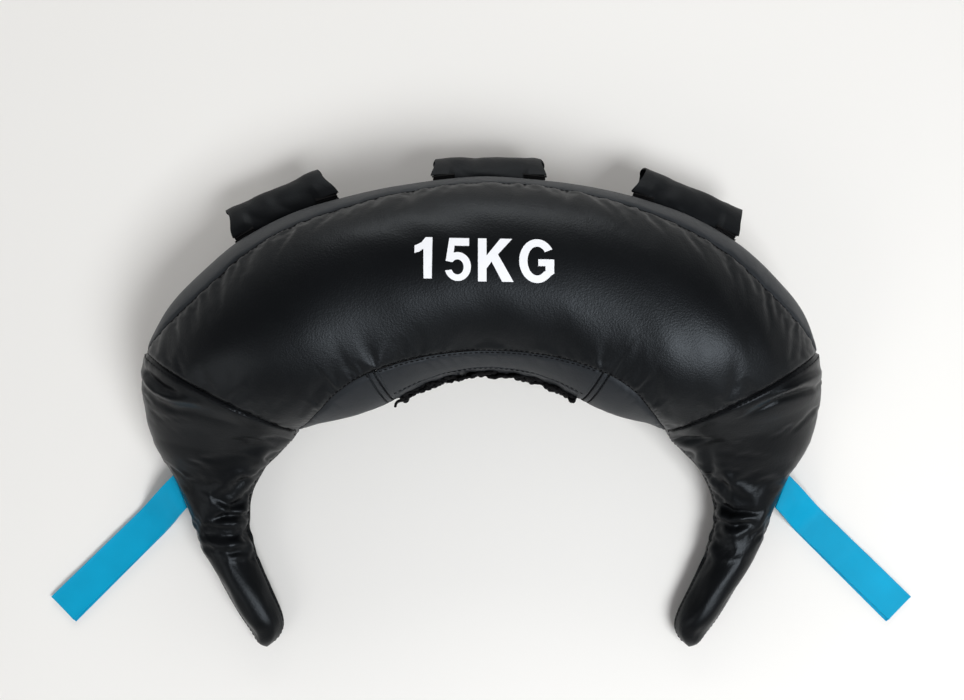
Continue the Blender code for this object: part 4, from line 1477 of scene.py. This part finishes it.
def plug(name, ribs, depth, seed):
    """A soft closed plug along some ribs, with rounded ends."""
    angles = np.linspace(0, math.tau, PLUG_COLUMNS)
    ends = np.minimum(np.arange(len(ribs)), np.arange(len(ribs))[::-1])
    inset = PLUG_END_INSET * np.exp(-ends / PLUG_END_ROWS)
    points = bag_surface(ribs[:, None], angles[None], depth + inset[:, None])
    start, _, low, _ = runs(points)
    points += np.stack([ripple(start, low, (*PLUG_WAVE, axis), seed) for axis in range(3)], -1)
    points[:, -1] = points[:, 0]
    centre = points.mean(1, keepdims=True)
    piece = lay_closed(name, capped(points, centre[:1], centre[-1:]))
    smooth(piece)
    return piece


def add_wadding(half, turn):
    ribs = belly_ribs(121) * WADDING_REACH
    lip = WADDING_MOUTH_GAP / half_thickness(ribs)
    angles = turn * spread(0.02 + 0 * ribs, math.pi - lip, 41)
    start, _, low, _ = runs(bag_surface(ribs[:, None], angles, QUILT_RUN_DEPTH))
    quilt = QUILT_DEPTH * np.sin(start / QUILT_PITCH) * np.sin(low / QUILT_PITCH)
    points = bag_surface(ribs[:, None], angles, WADDING_DEPTH - quilt)
    piece = lay_sheet(f"quilted_wadding_{half}", points, WADDING_THICKNESS)
    dress(piece, "belly", "wadding", "wadding", f"belly_wadding_{half}")


class BAG_OT_filling(bpy.types.Operator):
    """Adds the wadding layers, the sand pouches and the horns' stuffing inside the cover"""

    bl_idname = "bag.filling"
    bl_label = "Filling"

    def execute(self, context):
        add_wadding("front", 1)
        add_wadding("rear", -1)
        last = HORN_RIB - POUCH_END_GAP
        bounds = np.linspace(-last, last, POUCH_COUNT + 1)
        for number, (low, high) in enumerate(zip(bounds, bounds[1:])):
            ribs = np.linspace(low + POUCH_GAP, high - POUCH_GAP, 31)
            piece = plug(f"filled_pouch_{number + 1}", ribs, POUCH_DEPTH, SEEDS["pouch"] + number)
            dress(piece, "belly", "pouch_canvas", "pouch canvas",
                  f"sand_pouch_{number + 1}")
        for side_name, side in SIDES:
            ribs = side * np.linspace(HORN_RIB + 0.05, LAST_RIB + 0.2, 80)
            seed = SEEDS["stuffing"] + side
            piece = plug(f"{side_name}_horn_stuffing", ribs, STUFFING_DEPTH, seed)
            dress(piece, None, "wadding", "wadding", f"{side_name}_horn_wadding")
            bend_with_horn(piece, side)
        return {"FINISHED"}


# Handles

# How the gusset bends in plan near the handles, and how steeply the legs' sides follow it
GUSSET_BEND = 0.33
LEG_SLOPE = math.radians(50)
LEG_BEND_HEIGHT = 0.008

# How far the far side of each soft grip is pushed along, and how much it's drawn in at each end
SLEEVE_LIE = ((-0.0045, 0.0050), (0.0, 0.0010), (0.0010, 0.0020))

# A grip's sleeve: counts of points, its leather, and the slit for the webbing at its two ends
SLEEVE_ROWS, SLEEVE_COLUMNS = 111, 73
SLEEVE_SKIN = 0.0014
CUT_EDGE_DEPTH, CUT_EDGE_START = 0.010, 0.004
SLIT_CLEARANCE, SLIT_END_GAP, SLIT_LENGTH = 0.0006, 0.001, 0.006

# Its section: how square it is on the side near the bag and on the far side, how much deeper
# the near side is, less so underneath and above, and how it widens and flattens at its ends
NEAR_SQUARE, FAR_SQUARE = 1.55, 2.5
NEAR_DEPTH, UNDER_CUT, ABOVE_CUT = 1.61, 0.46, 0.08
SIDE_STEEPNESS = 2.5
EASE_START, EASE_LENGTH = 0.010, 0.035
END_REACH = 0.009
END_FLARE, END_FLATTENING, UNDER_FLATTENING = 0.0022, 0.16, 0.10

# How far its near side is drawn down in its middle, at the legs besides, and over the slits
TUCK_DEPTH, TUCK_LEGS, TUCK_SLIT = 0.0021, 0.0024, 0.0009

# Its crumple: waves with their seed steps, slanted folds, one dimple from a finger, and how
# far round from the lips of the slit it begins; then the waves of its two hems
GRIP_RADIUS = 0.014
GRIP_WAVES = ((0.0005, 0.022, 0.018, 0), (0.0003, 0.009, 0.010, 2))
GRIP_FOLDS, GRIP_FOLD_SLANT, GRIP_FOLD_SILL = (0.0004, 0.026, 0.030, 1), 0.02, 0.8
DIMPLE_PLACE, DIMPLE_REACH, DIMPLE_DEPTH = 0.022, 0.007, 0.0016
LIP_TURN = 0.5
GRIP_HEM, GRIP_HEM_WAVE, GRIP_HEM_LENGTH = 0.0030, 0.0012, 0.010

# Foam inside a grip, and how a tab of the webbing is laid and sewn
FOAM_HALF_LENGTH = 0.0455
FOAM_GAP = 0.0046
WEBBING_BEVEL = 0.0008
WEBBING_MAP = 0.02
TAB_GRID = (25, 21)
TAB_LIFT = 0.0004
TAB_WAVE = 0.0002
TAB_INSET = 3
TAB_PITCH = 0.0032
TAB_STITCH_RADIUS = 0.00045


def handle_frame(rib, droop):
    """Where a handle turns: the middle of its fold line, the line, and the way it hangs out."""
    reach = WEBBING_SPAN / 2 - WEBBING_LEG_WIDTH
    stand = SEAM_GAP * 2 + FOOT_THICKNESS + WEBBING_THICKNESS / 2
    ends = []
    for side in (-1, 1):
        foot = rib_after(rib, side * reach, outer_edge)
        way = outer_edge(foot) - inner_edge(foot)
        way.z = 0
        ends.append(outer_edge(foot) + way.normalized() * stand)
    line = ends[1] - ends[0]
    line = Vector((line.x, line.y, 0)).normalized()
    way = Vector((-line.y, line.x, 0))
    hang = math.radians(droop)
    down = way * math.cos(hang) - Vector((0, 0, math.sin(hang)))
    matrix = Matrix((line, down, line.cross(down))).transposed().to_4x4()
    matrix.translation = (ends[0] + ends[1]) / 2
    return matrix


def placed(matrix, points):
    """Points given along, out and up from a handle's fold line, put in their place."""
    turn = np.array(matrix.to_3x3())
    return points @ turn.T + np.array(matrix.translation)


def lie_along(along, out, lean, taper):
    """Pushes the far side of a soft grip along, and draws it in towards its middle."""
    far = np.clip(out / (FINGER_GAP + HANDLE_DEPTH), 0, 1)
    return along + (lean - taper * along * 2 / HANDLE_LENGTH) * far


def grip_crumple(along, around, sin, seed):
    """How far the leather of a grip is pushed in and out by use."""
    height, length, width, step = GRIP_FOLDS
    slanted = along / length + around / GRIP_FOLD_SLANT
    dimple = hill(along - DIMPLE_PLACE * math.sin(seed), DIMPLE_REACH) * np.clip(sin, 0, 1) ** 4
    field = sum(ripple(along, around, wave, seed) for wave in GRIP_WAVES)
    field = field + height * folds(slanted, around / width, seed + step, GRIP_FOLD_SILL)
    return field - DIMPLE_DEPTH * dimple


def sleeve_points(seed, lean, taper):
    """The soft sleeve of a grip: round on its far side, drawn to an edge towards the bag.

    It opens there at both ends for the webbing's legs.
    """
    share = np.linspace(-1, 1, SLEEVE_ROWS)[:, None]
    along = share * HANDLE_LENGTH / 2
    legs = WEBBING_SPAN / 2 - WEBBING_LEG_WIDTH - SLIT_END_GAP
    opened = np.clip((np.abs(along) - legs) / SLIT_LENGTH, 0, 1)
    widest = math.asin((WEBBING_THICKNESS / 2 + SLIT_CLEARANCE) / (HANDLE_THICKNESS / 2))
    slit = widest * opened
    turn = slit + (math.tau - 2 * slit) * np.linspace(0, 1, SLEEVE_COLUMNS)[None]
    cos, sin = np.cos(turn), np.sin(turn)
    end = np.exp(-(HANDLE_LENGTH / 2 - np.abs(along)) / END_REACH)

    square = np.where(cos > 0, NEAR_SQUARE, FAR_SQUARE)
    reach = (np.abs(cos) ** square + np.abs(sin) ** square) ** (-1 / square)
    ease = np.clip((np.abs(along) - EASE_START) / EASE_LENGTH, 0, 1)
    under = np.clip(-SIDE_STEEPNESS * sin, 0, 1)
    above = np.clip(SIDE_STEEPNESS * sin, 0, 1)
    near = np.where(cos > 0, NEAR_DEPTH - UNDER_CUT * under - ABOVE_CUT * above * ease, 1.0)
    half_depth = HANDLE_DEPTH / 2 * near + END_FLARE * end
    flattened = (1 - END_FLATTENING * end) * (1 - UNDER_FLATTENING * under)
    out = -half_depth * cos * reach
    up = HANDLE_THICKNESS / 2 * flattened * sin * reach
    tuck = (TUCK_DEPTH + TUCK_LEGS * (along / legs) ** 2) * (1 - opened) + TUCK_SLIT * opened
    tuck = tuck * np.clip(cos * reach, 0, 1) ** 2

    around = turn * GRIP_RADIUS
    lips = np.minimum(turn - slit, math.tau - slit - turn)
    crumple = grip_crumple(along, around, sin, seed) * np.clip(lips / LIP_TURN, 0, 1)
    scale = 1 + crumple / (HANDLE_THICKNESS / 2)
    hem = GRIP_HEM * (np.abs(cos) ** 3 - 0.4) * np.sign(share)
    hem = hem + GRIP_HEM_WAVE * soft_noise(np.sign(share) * 3, around / GRIP_HEM_LENGTH, seed + 3)
    centre = FINGER_GAP + HANDLE_DEPTH / 2
    return np.stack((
        lie_along(along + hem * end, centre + out, lean, taper), centre + out * scale,
        up * scale - tuck), -1)


def darken_slit(piece, matrix):
    """Keeps the pale cut edge to the sleeve's two open ends."""
    inverse = matrix.inverted()
    for face in piece.data.polygons:
        if face.material_index == 1:
            place = inverse @ face.center
            inside = abs(place.x) < HANDLE_LENGTH / 2 - CUT_EDGE_DEPTH
            if inside or place.y < FINGER_GAP + CUT_EDGE_START:
                face.material_index = 0


def add_sleeve(name, matrix, seed, lean, taper):
    points = placed(matrix, sleeve_points(seed, lean, taper))
    piece = lay_grid(f"{name}_grip", points)
    edit(piece, weld)
    centre = placed(matrix, np.array([[0.0, FINGER_GAP + HANDLE_DEPTH / 2, 0.0]]))[0]
    face_out(piece, lambda place: centre)
    piece.data.materials.clear()
    piece.data.materials.append(named_finish("handle leather"))
    piece.data.materials.append(named_finish("cut leather edge"))
    thicken(piece, SLEEVE_SKIN, material_offset_rim=1)
    darken_slit(piece, matrix)
    smooth(piece)
    dress(piece, name, "cover_leather", None, f"{name}_sleeve")


def add_foam(name, matrix):
    """The padding in a grip: a crowned roll of foam round the webbing."""
    share = np.linspace(-1, 1, 41)[:, None]
    turn = np.linspace(0, math.tau, 49)[None]
    crown = np.sqrt(np.clip(1 - np.abs(share) ** 9, 0.02, 1))
    out = -(HANDLE_DEPTH / 2 - FOAM_GAP) * np.cos(turn) * crown
    up = (HANDLE_THICKNESS / 2 - FOAM_GAP) * np.sin(turn) * crown
    along = share * FOAM_HALF_LENGTH + 0 * turn
    points = np.stack((along, FINGER_GAP + HANDLE_DEPTH / 2 + out, up), -1)
    centre = points.mean(1, keepdims=True)
    points = placed(matrix, capped(points, centre[:1], centre[-1:]))
    piece = lay_closed(f"{name}_padding", points)
    smooth(piece)
    dress(piece, name, "handle_foam", "handle foam", f"{name}_core")


def strip_map(piece, axis_along, axis_across, origin):
    """Gives a piece a map in which one unit is a fixed length of webbing."""
    layer = piece.data.uv_layers.get("UVMap") or piece.data.uv_layers.new(name="UVMap")
    axes = Vector(axis_along), Vector(axis_across)
    for loop in piece.data.loops:
        place = piece.data.vertices[loop.vertex_index].co - origin
        layer.data[loop.index].uv = [place.dot(axis) / WEBBING_MAP for axis in axes]


def copy_node(node, name):
    """A merged copy of a solid's mesh, as the start of a softer piece."""
    source = bpy.data.objects[node]
    piece = bpy.data.objects.new(name, source.data.copy())
    piece.data.name = name
    bpy.context.scene.collection.objects.link(piece)
    piece.matrix_world = source.matrix_world.copy()
    edit(piece, weld)
    return piece


def soften(piece, width):
    """Rounds the edges of flat webbing."""
    edit(piece, lambda: bpy.ops.mesh.dissolve_limited(angle_limit=math.radians(3)))
    add_modifier(piece, "BEVEL", width=width, segments=3, limit_method="ANGLE",
                 angle_limit=math.radians(40))
    add_modifier(piece, "TRIANGULATE")
    smooth(piece, 50)


def add_webbing(name, matrix, lean, taper):
    """The webbing in a grip, its legs bent to lie along the gusset."""
    piece = copy_node(f"{name}_webbing", f"{name}_band")
    inner = WEBBING_SPAN / 2 - WEBBING_LEG_WIDTH
    edit(piece, lambda: bpy.ops.mesh.subdivide(number_cuts=2))
    inverse = matrix.inverted()
    way = Vector((0, -math.cos(LEG_SLOPE), -math.sin(LEG_SLOPE)))
    for vert in piece.data.vertices:
        along, out, up = inverse @ vert.co
        sag = max(along * along - inner * inner, 0.0) / (2 * GUSSET_BEND)
        near = min(max(1 - out / LEG_BEND_HEIGHT, 0.0), 1.0)
        laid = Vector((lie_along(along, out, lean, taper), out, up))
        vert.co = matrix @ (laid + way * sag * near)
    soften(piece, WEBBING_BEVEL)
    strip_map(piece, matrix.col[0].xyz, matrix.col[1].xyz, matrix.translation)
    dress(piece, name, "handle_webbing", "handle webbing", f"{name}_webbing")


def add_feet(name, rib):
    """The two sewn ends of a handle's webbing, flat on the gusset, with a box of stitches."""
    rows, columns = TAB_GRID
    last, right = rows - TAB_INSET, columns - TAB_INSET
    outer = WEBBING_SPAN / 2
    inner = outer - WEBBING_LEG_WIDTH
    stand = SEAM_GAP + FOOT_THICKNESS + TAB_LIFT
    lines = []
    for end, side in SIDES:
        bounds = sorted(rib_after(rib, side * reach, outer_edge) for reach in (inner, outer))
        ribs = np.linspace(*bounds, rows)
        reach = FOOT_HEIGHT / 2 / half_thickness(ribs)
        uneven = TAB_WAVE * soft_noise(
            np.arange(rows)[:, None] / 5, np.arange(columns)[None] / 5, SEEDS["tab"] + side)
        points = bag_surface(ribs[:, None], spread(-reach, reach, columns), -stand - uneven)
        piece = lay_sheet(f"{name}_tab_{end}", points, FOOT_THICKNESS, 50)
        middle = columns // 2
        line = (Vector(points[-1, middle]) - Vector(points[0, middle])).normalized()
        strip_map(piece, line, (0, 0, 1), Vector(points[rows // 2, middle]))
        dress(piece, "belly", "handle_webbing", "handle webbing",
              f"{name}_foot_{end}")
        for column in (TAB_INSET, right - 1):
            keep_line("tab", points[TAB_INSET:last], column)
            lines.append(out_line("tab", belly_heart))
        for row in (TAB_INSET, last - 1):
            for part in (slice(TAB_INSET, middle), slice(middle + 2, right + 1)):
                keep_row("tab", points[:, part], row)
                lines.append(out_line("tab", belly_heart))
    sew(f"{name}_tab_stitching", lines, TAB_PITCH, "belly", TAB_STITCH_RADIUS)


class BAG_OT_handles(bpy.types.Operator):
    """Adds the three padded grab handles and their sewn tabs"""

    bl_idname = "bag.handles"
    bl_label = "Grab Handles"

    def execute(self, context):
        for number, ((name, rib, droop), lie) in enumerate(zip(HANDLES, SLEEVE_LIE)):
            matrix = handle_frame(rib, droop)
            add_sleeve(name, matrix, SEEDS["grip"] + GRIP_SEED_STEP * number, *lie)
            add_foam(name, matrix)
            add_webbing(name, matrix, *lie)
            add_feet(name, rib)
        return {"FINISHED"}


# Wrist loops

STRAP_POINTS, STRAP_COLUMNS, STRAP_FOLD_POINTS = 70, 21, 13
STRAP_DIRECTION_RIBS = 0.4

# A loop's lower layer lies askew; its upper one has corded edges and a wave, which fades out at
# the horn and at the fold
STRAP_SPLAY = 0.0028
STRAP_CURL = 0.0007
STRAP_WAVE, STRAP_WAVE_LENGTH = 0.0010, 0.04
STRAP_WAVE_START, STRAP_WAVE_END = 0.06, 0.03
STRAP_SKIN_SHARE = 0.9
STRAP_MAP = 0.1


def strap_root(side):
    """Where a strap leaves its horn: a point on its fold line, and the line's direction."""
    root, inner, last, first = (bag_point(side * rib, angle) for rib, angle in (
        (STRAP_RIB, 0.0), (STRAP_RIB, math.pi),
        (STRAP_RIB + STRAP_DIRECTION_RIBS, 0.0), (STRAP_RIB - STRAP_DIRECTION_RIBS, 0.0)))
    ahead = last - first
    line = Vector((ahead.x, ahead.y, 0)).normalized()
    square = Vector((-line.y, line.x, 0))
    if square.dot(root - inner) < 0:
        square = -square
    return root + square * (STRAP_THICKNESS + SEAM_GAP / 2 + STRAP_ROOT_GAP), line


def strap_path():
    """The loop's middle line from the side: out near the floor, round the fold and back."""
    half = (STRAP_THICKNESS + STRAP_LAYER_GAP) / 2
    seam = (STRAP_THICKNESS + SEAM_GAP) / 2
    along = np.linspace(0, STRAP_LENGTH, STRAP_POINTS)
    rise = seam + (half - seam) * np.clip(along / STRAP_BLEND_LENGTH, 0, 1)
    turns = np.radians(np.linspace(-90, 90, STRAP_FOLD_POINTS))[1:-1]
    lower = np.stack((along, -rise), -1)
    fold = np.stack((STRAP_LENGTH + half * np.cos(turns), half * np.sin(turns)), -1)
    upper = np.stack((along[::-1], rise[::-1]), -1)
    root = np.stack((-seam * np.cos(turns), seam * np.sin(turns[::-1])), -1)
    return np.concatenate((lower, fold, upper, root, lower[:1])).T


def strap_points(side):
    """A loop folded double: its rings of points, and the length of its middle line."""
    root, line = strap_root(side)
    heading = math.radians(STRAP_HEADING)
    ahead = Vector((-side * math.cos(heading), math.sin(heading), 0))
    wide = Vector((-ahead.y, ahead.x, 0))
    if wide.dot(line) < 0:
        wide = -wide
    skew = line / abs(line.dot(wide))
    along, lift = strap_path()
    blend = np.clip(along / STRAP_BLEND_LENGTH, 0, 1)[:, None]
    reach = np.array(skew)[None] * (1 - blend) + np.array(wide)[None] * blend
    drop = eased(np.clip(along / STRAP_DROP_LENGTH, 0, 1))
    floor_height = STRAP_THICKNESS + STRAP_LAYER_GAP / 2
    centre = np.array((root.x, root.y, 0)) + np.array(ahead)[None] * along[:, None]
    centre[:, 2] = root.z + (floor_height - root.z) * drop + lift
    splay = STRAP_SPLAY * (lift < 0) * np.clip(along / STRAP_LENGTH, 0, 1)
    centre += np.array(wide)[None] * splay[:, None]
    across = np.linspace(-1, 1, STRAP_COLUMNS)
    points = centre[:, None] + reach[:, None] * (across * STRAP_WIDTH / 2)[None, :, None]
    wave = STRAP_WAVE * soft_noise(along / STRAP_WAVE_LENGTH, 0, SEEDS["loop"] + side)
    wave *= np.clip(along / STRAP_WAVE_START, 0, 1)
    wave *= np.clip((STRAP_LENGTH - along) / STRAP_WAVE_END, 0, 1)
    curl = STRAP_CURL * np.abs(across) ** 6
    points[..., 2] += (lift > 0)[:, None] * (np.abs(wave)[:, None] + curl[None])
    points[-1] = points[0]
    return points, run_along(centre)[-1]


def scale_map(piece, along, across):
    """Scales a grid's own map so that one unit is a tenth of a metre."""
    layer = piece.data.uv_layers[0]
    layer.name = "UVMap"
    flat = np.empty(len(piece.data.loops) * 2, np.float32)
    layer.data.foreach_get("uv", flat)
    flat = flat.reshape(-1, 2) * (along / STRAP_MAP, across / STRAP_MAP)
    layer.data.foreach_set("uv", flat.astype(np.float32).ravel())


class BAG_OT_straps(bpy.types.Operator):
    """Adds the two wrist loops of satin webbing"""

    bl_idname = "bag.straps"
    bl_label = "Wrist Loops"

    def execute(self, context):
        for side_name, side in SIDES:
            points, length = strap_points(side)
            piece = lay_grid(f"{side_name}_wrist_loop", points)
            scale_map(piece, length, STRAP_WIDTH)
            edit(piece, weld, outward)
            add_modifier(piece, "SOLIDIFY", thickness=STRAP_THICKNESS * STRAP_SKIN_SHARE,
                         offset=0.0, use_even_offset=True)
            smooth(piece, 50)
            dress(piece, f"{side_name}_strap", "strap_webbing", "satin webbing",
                  f"{side_name}_wrist_strap")
        return {"FINISHED"}


# Weight mark

# Each sign of the mark, with its left, right, top and bottom edge in the photograph's frame;
# then the height at which they are seen and how much their line falls to the right
MARK_SIGNS = (
    ("one", 414.7, 432.5, 237.0, 278.5),
    ("five", 444.6, 471.0, 238.0, 281.0),
    ("letter_k", 478.0, 513.5, 238.5, 281.6),
    ("letter_g", 519.0, 555.0, 239.0, 283.0),
)
MARK_HEIGHT = 0.162
MARK_FALL = math.tan(math.radians(1.0))

# The printed film: how finely it is cut to follow the panel, its lift and its thickness
MARK_STEP = 0.0035
MARK_LIFT, MARK_FILM = 0.00035, 0.0003

FRAME_MIDDLE = (482.0, 350.0)
METRES_PER_PIXEL = 0.001002


def under_pixel(column, row, height):
    """The point at some height that shows at a pixel of the photograph's frame."""
    scale = METRES_PER_PIXEL * (1 - height / CAMERA_PLACE[2])
    return ((column - FRAME_MIDDLE[0]) * scale + CAMERA_PLACE[0],
            CAMERA_PLACE[1] - (row - FRAME_MIDDLE[1]) * scale)


def arc(centre, radii, first, last, count=28):
    turns = np.radians(np.linspace(first, last, count))
    return [(centre[0] + radii[0] * math.cos(turn), centre[1] + radii[1] * math.sin(turn))
            for turn in turns]


def sign_outline(name):
    """The outline of a plain bold sign, across and up its own box."""
    if name == "one":
        return [(0.51, 0.0), (0.97, 0.0), (1.0, 1.0), (0.62, 1.0), (0.38, 0.87), (0.0, 0.79),
                (0.0, 0.61), (0.28, 0.65), (0.50, 0.72)]
    if name == "five":
        outer = arc((0.50, 0.335), (0.50, 0.335), 108, -163)
        inner = arc((0.49, 0.325), (0.235, 0.175), -158, 142)
        return [(0.93, 1.0), (0.93, 0.82), (0.38, 0.82), (0.345, 0.64)] + outer + inner + [
            (0.05, 0.46), (0.18, 1.0)]
    if name == "letter_k":
        return [(0.0, 0.0), (0.24, 0.0), (0.24, 0.30), (0.38, 0.46), (0.68, 0.0), (1.0, 0.0),
                (0.56, 0.63), (0.96, 1.0), (0.63, 1.0), (0.24, 0.60), (0.24, 1.0), (0.0, 1.0)]
    outer = arc((0.50, 0.50), (0.50, 0.50), 33, 318)
    inner = arc((0.50, 0.50), (0.27, 0.33), 314, 38)
    return outer + [(0.97, 0.22), (0.97, 0.54), (0.53, 0.54), (0.53, 0.385), (0.73, 0.385),
                    (0.73, 0.27)] + inner


def cut_finely(piece, step):
    """Cuts a flat mesh along a fine grid, so that it can follow a curved panel."""
    xs = [vert.co.x for vert in piece.data.vertices]
    ys = [vert.co.y for vert in piece.data.vertices]

    def cuts():
        for axis, low, high in (((1, 0, 0), min(xs), max(xs)), ((0, 1, 0), min(ys), max(ys))):
            for place in np.arange(low + step / 2, high, step):
                bpy.ops.mesh.select_all(action="SELECT")
                bpy.ops.mesh.bisect(
                    plane_co=tuple(part * place for part in axis), plane_no=axis)

    edit(piece, cuts)


def lay_sign(sign, left, right, top, bottom):
    """One flat sign of the mark, cut finely."""
    outline = np.array(sign_outline(sign))
    deselect()
    bpy.ops.mesh.primitive_circle_add(
        vertices=len(outline), fill_type="NGON", location=(0, 0, 0))
    piece = bpy.context.object
    low = np.array(under_pixel(left, bottom, MARK_HEIGHT))
    place = outline * (under_pixel(right, top, MARK_HEIGHT) - low)
    place[:, 1] -= place[:, 0] * MARK_FALL
    for vert, (x, y) in zip(piece.data.vertices, low + place):
        vert.co = (x, y, 0)
    edit(piece, lambda: bpy.ops.mesh.quads_convert_to_tris(ngon_method="BEAUTY"))
    cut_finely(piece, MARK_STEP)
    return piece


class BAG_OT_mark(bpy.types.Operator):
    """Prints the plain weight mark on the front panel"""

    bl_idname = "bag.mark"
    bl_label = "Weight Mark"

    def execute(self, context):
        panel = bpy.data.objects["front_cover"]
        tree = BVHTree.FromObject(panel, context.evaluated_depsgraph_get())
        piece = join("weight_mark", [lay_sign(*sign) for sign in MARK_SIGNS])
        for vert in piece.data.vertices:
            above = Vector((vert.co.x, vert.co.y, 2 * BELLY_HEIGHT))
            hit, _, _, _ = tree.ray_cast(above, Vector((0, 0, -1)))
            vert.co.z = hit.z + MARK_LIFT
        edit(piece, outward)
        if piece.data.polygons[0].normal.z < 0:
            edit(piece, flip)
        thicken(piece, MARK_FILM)
        smooth(piece, 40)
        dress(piece, "belly", "weight_mark", "white film")
        return {"FINISHED"}


# Stage

FLOOR_SIZE = 8
FLOOR_DEPTH = 0.0004

# Lamps: name, place, size, power and colour
LAMPS = (
    ("window light", (0.84, -0.98, 1.97), (1.3, 0.9), 44.0, (0.96, 0.98, 1.0)),
    ("left light", (-1.40, -1.30, 1.50), (1.2, 0.9), 6.0, (1.0, 0.99, 0.965)),
    ("back light", (-0.10, 2.20, 1.10), (1.8, 0.7), 23.0, (1.0, 0.985, 0.955)),
)

# The room's light, from the horizon up to the dimmer ceiling
ROOM_STRENGTH = 0.90
ROOM_STOPS = ((0.05, (1.0, 0.99, 0.975, 1)), (0.48, (0.22, 0.22, 0.23, 1)))


def add_area(name, place, size, power, colour):
    data = bpy.data.lights.new(name, "AREA")
    data.shape = "RECTANGLE"
    data.size, data.size_y = size
    data.energy = power
    data.color = colour
    lamp = bpy.data.objects.new(name, data)
    lamp.location = place
    lamp.rotation_euler = (-Vector(place)).to_track_quat("-Z", "Y").to_euler()
    bpy.context.scene.collection.objects.link(lamp)


def add_floor(colour):
    deselect()
    bpy.ops.mesh.primitive_plane_add(size=FLOOR_SIZE, location=(0, 0, -FLOOR_DEPTH))
    floor = bpy.context.object
    floor.name = "floor"
    finish = Finish("pale floor", Roughness=0.85)
    patches = finish.noise(finish.place(), 1.5, 1.0)
    finish.feed("Base Color", finish.mix(patches, shade(colour, 0.97), shade(colour, 1.03)))
    floor.data.materials.append(finish.material)


def add_room():
    world = bpy.data.worlds.new("room")
    bpy.context.scene.world = world
    world.use_nodes = True
    nodes, links = world.node_tree.nodes, world.node_tree.links
    background = nodes["Background"]
    background.inputs["Strength"].default_value = ROOM_STRENGTH
    way = nodes.new("ShaderNodeTexCoord").outputs["Generated"]
    parts = nodes.new("ShaderNodeSeparateXYZ")
    ramp = nodes.new("ShaderNodeValToRGB")
    Finish.set_stops(ramp.color_ramp, ROOM_STOPS)
    links.new(way, parts.inputs[0])
    links.new(parts.outputs["Z"], ramp.inputs[0])
    links.new(ramp.outputs[0], background.inputs["Color"])


class BAG_OT_stage(bpy.types.Operator):
    """Adds the pale floor, the soft lights and the camera straight above"""

    bl_idname = "bag.stage"
    bl_label = "Stage"

    def execute(self, context):
        scene = context.scene
        add_floor(tuple(scene.bulgarian_bag.floor_colour))
        for lamp in LAMPS:
            add_area(*lamp)
        add_room()
        data = bpy.data.cameras.new("camera")
        data.lens = CAMERA_LENS
        data.clip_start = 0.01
        camera = bpy.data.objects.new("camera", data)
        camera.location = CAMERA_PLACE
        scene.collection.objects.link(camera)
        scene.camera = camera
        scene.view_settings.view_transform = "Standard"
        return {"FINISHED"}


class BAG_PT_panel(bpy.types.Panel):
    """Lists the steps that build the bag"""

    bl_label = "Bulgarian Bag"
    bl_idname = "BAG_PT_panel"
    bl_space_type = "VIEW_3D"
    bl_region_type = "UI"
    bl_category = "Bulgarian Bag"

    def draw(self, context):
        for name in BagSettings.__annotations__:
            self.layout.prop(context.scene.bulgarian_bag, name)
        for step in STEPS:
            self.layout.operator(step.bl_idname)


STEPS = (
    BAG_OT_stage, BAG_OT_panels, BAG_OT_gussets, BAG_OT_mouth, BAG_OT_lace, BAG_OT_stitching,
    BAG_OT_horns, BAG_OT_filling, BAG_OT_handles, BAG_OT_straps, BAG_OT_mark,
)


def register():
    for item in (BagSettings, *STEPS, BAG_PT_panel):
        bpy.utils.register_class(item)
    bpy.types.Scene.bulgarian_bag = PointerProperty(type=BagSettings)


def unregister():
    del bpy.types.Scene.bulgarian_bag
    for item in (BAG_PT_panel, *reversed(STEPS), BagSettings):
        bpy.utils.unregister_class(item)


def main():
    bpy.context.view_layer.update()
    register()
    for step in STEPS:
        group, name = step.bl_idname.split(".")
        getattr(getattr(bpy.ops, group), name)()


if __name__ == "__main__":
    main()
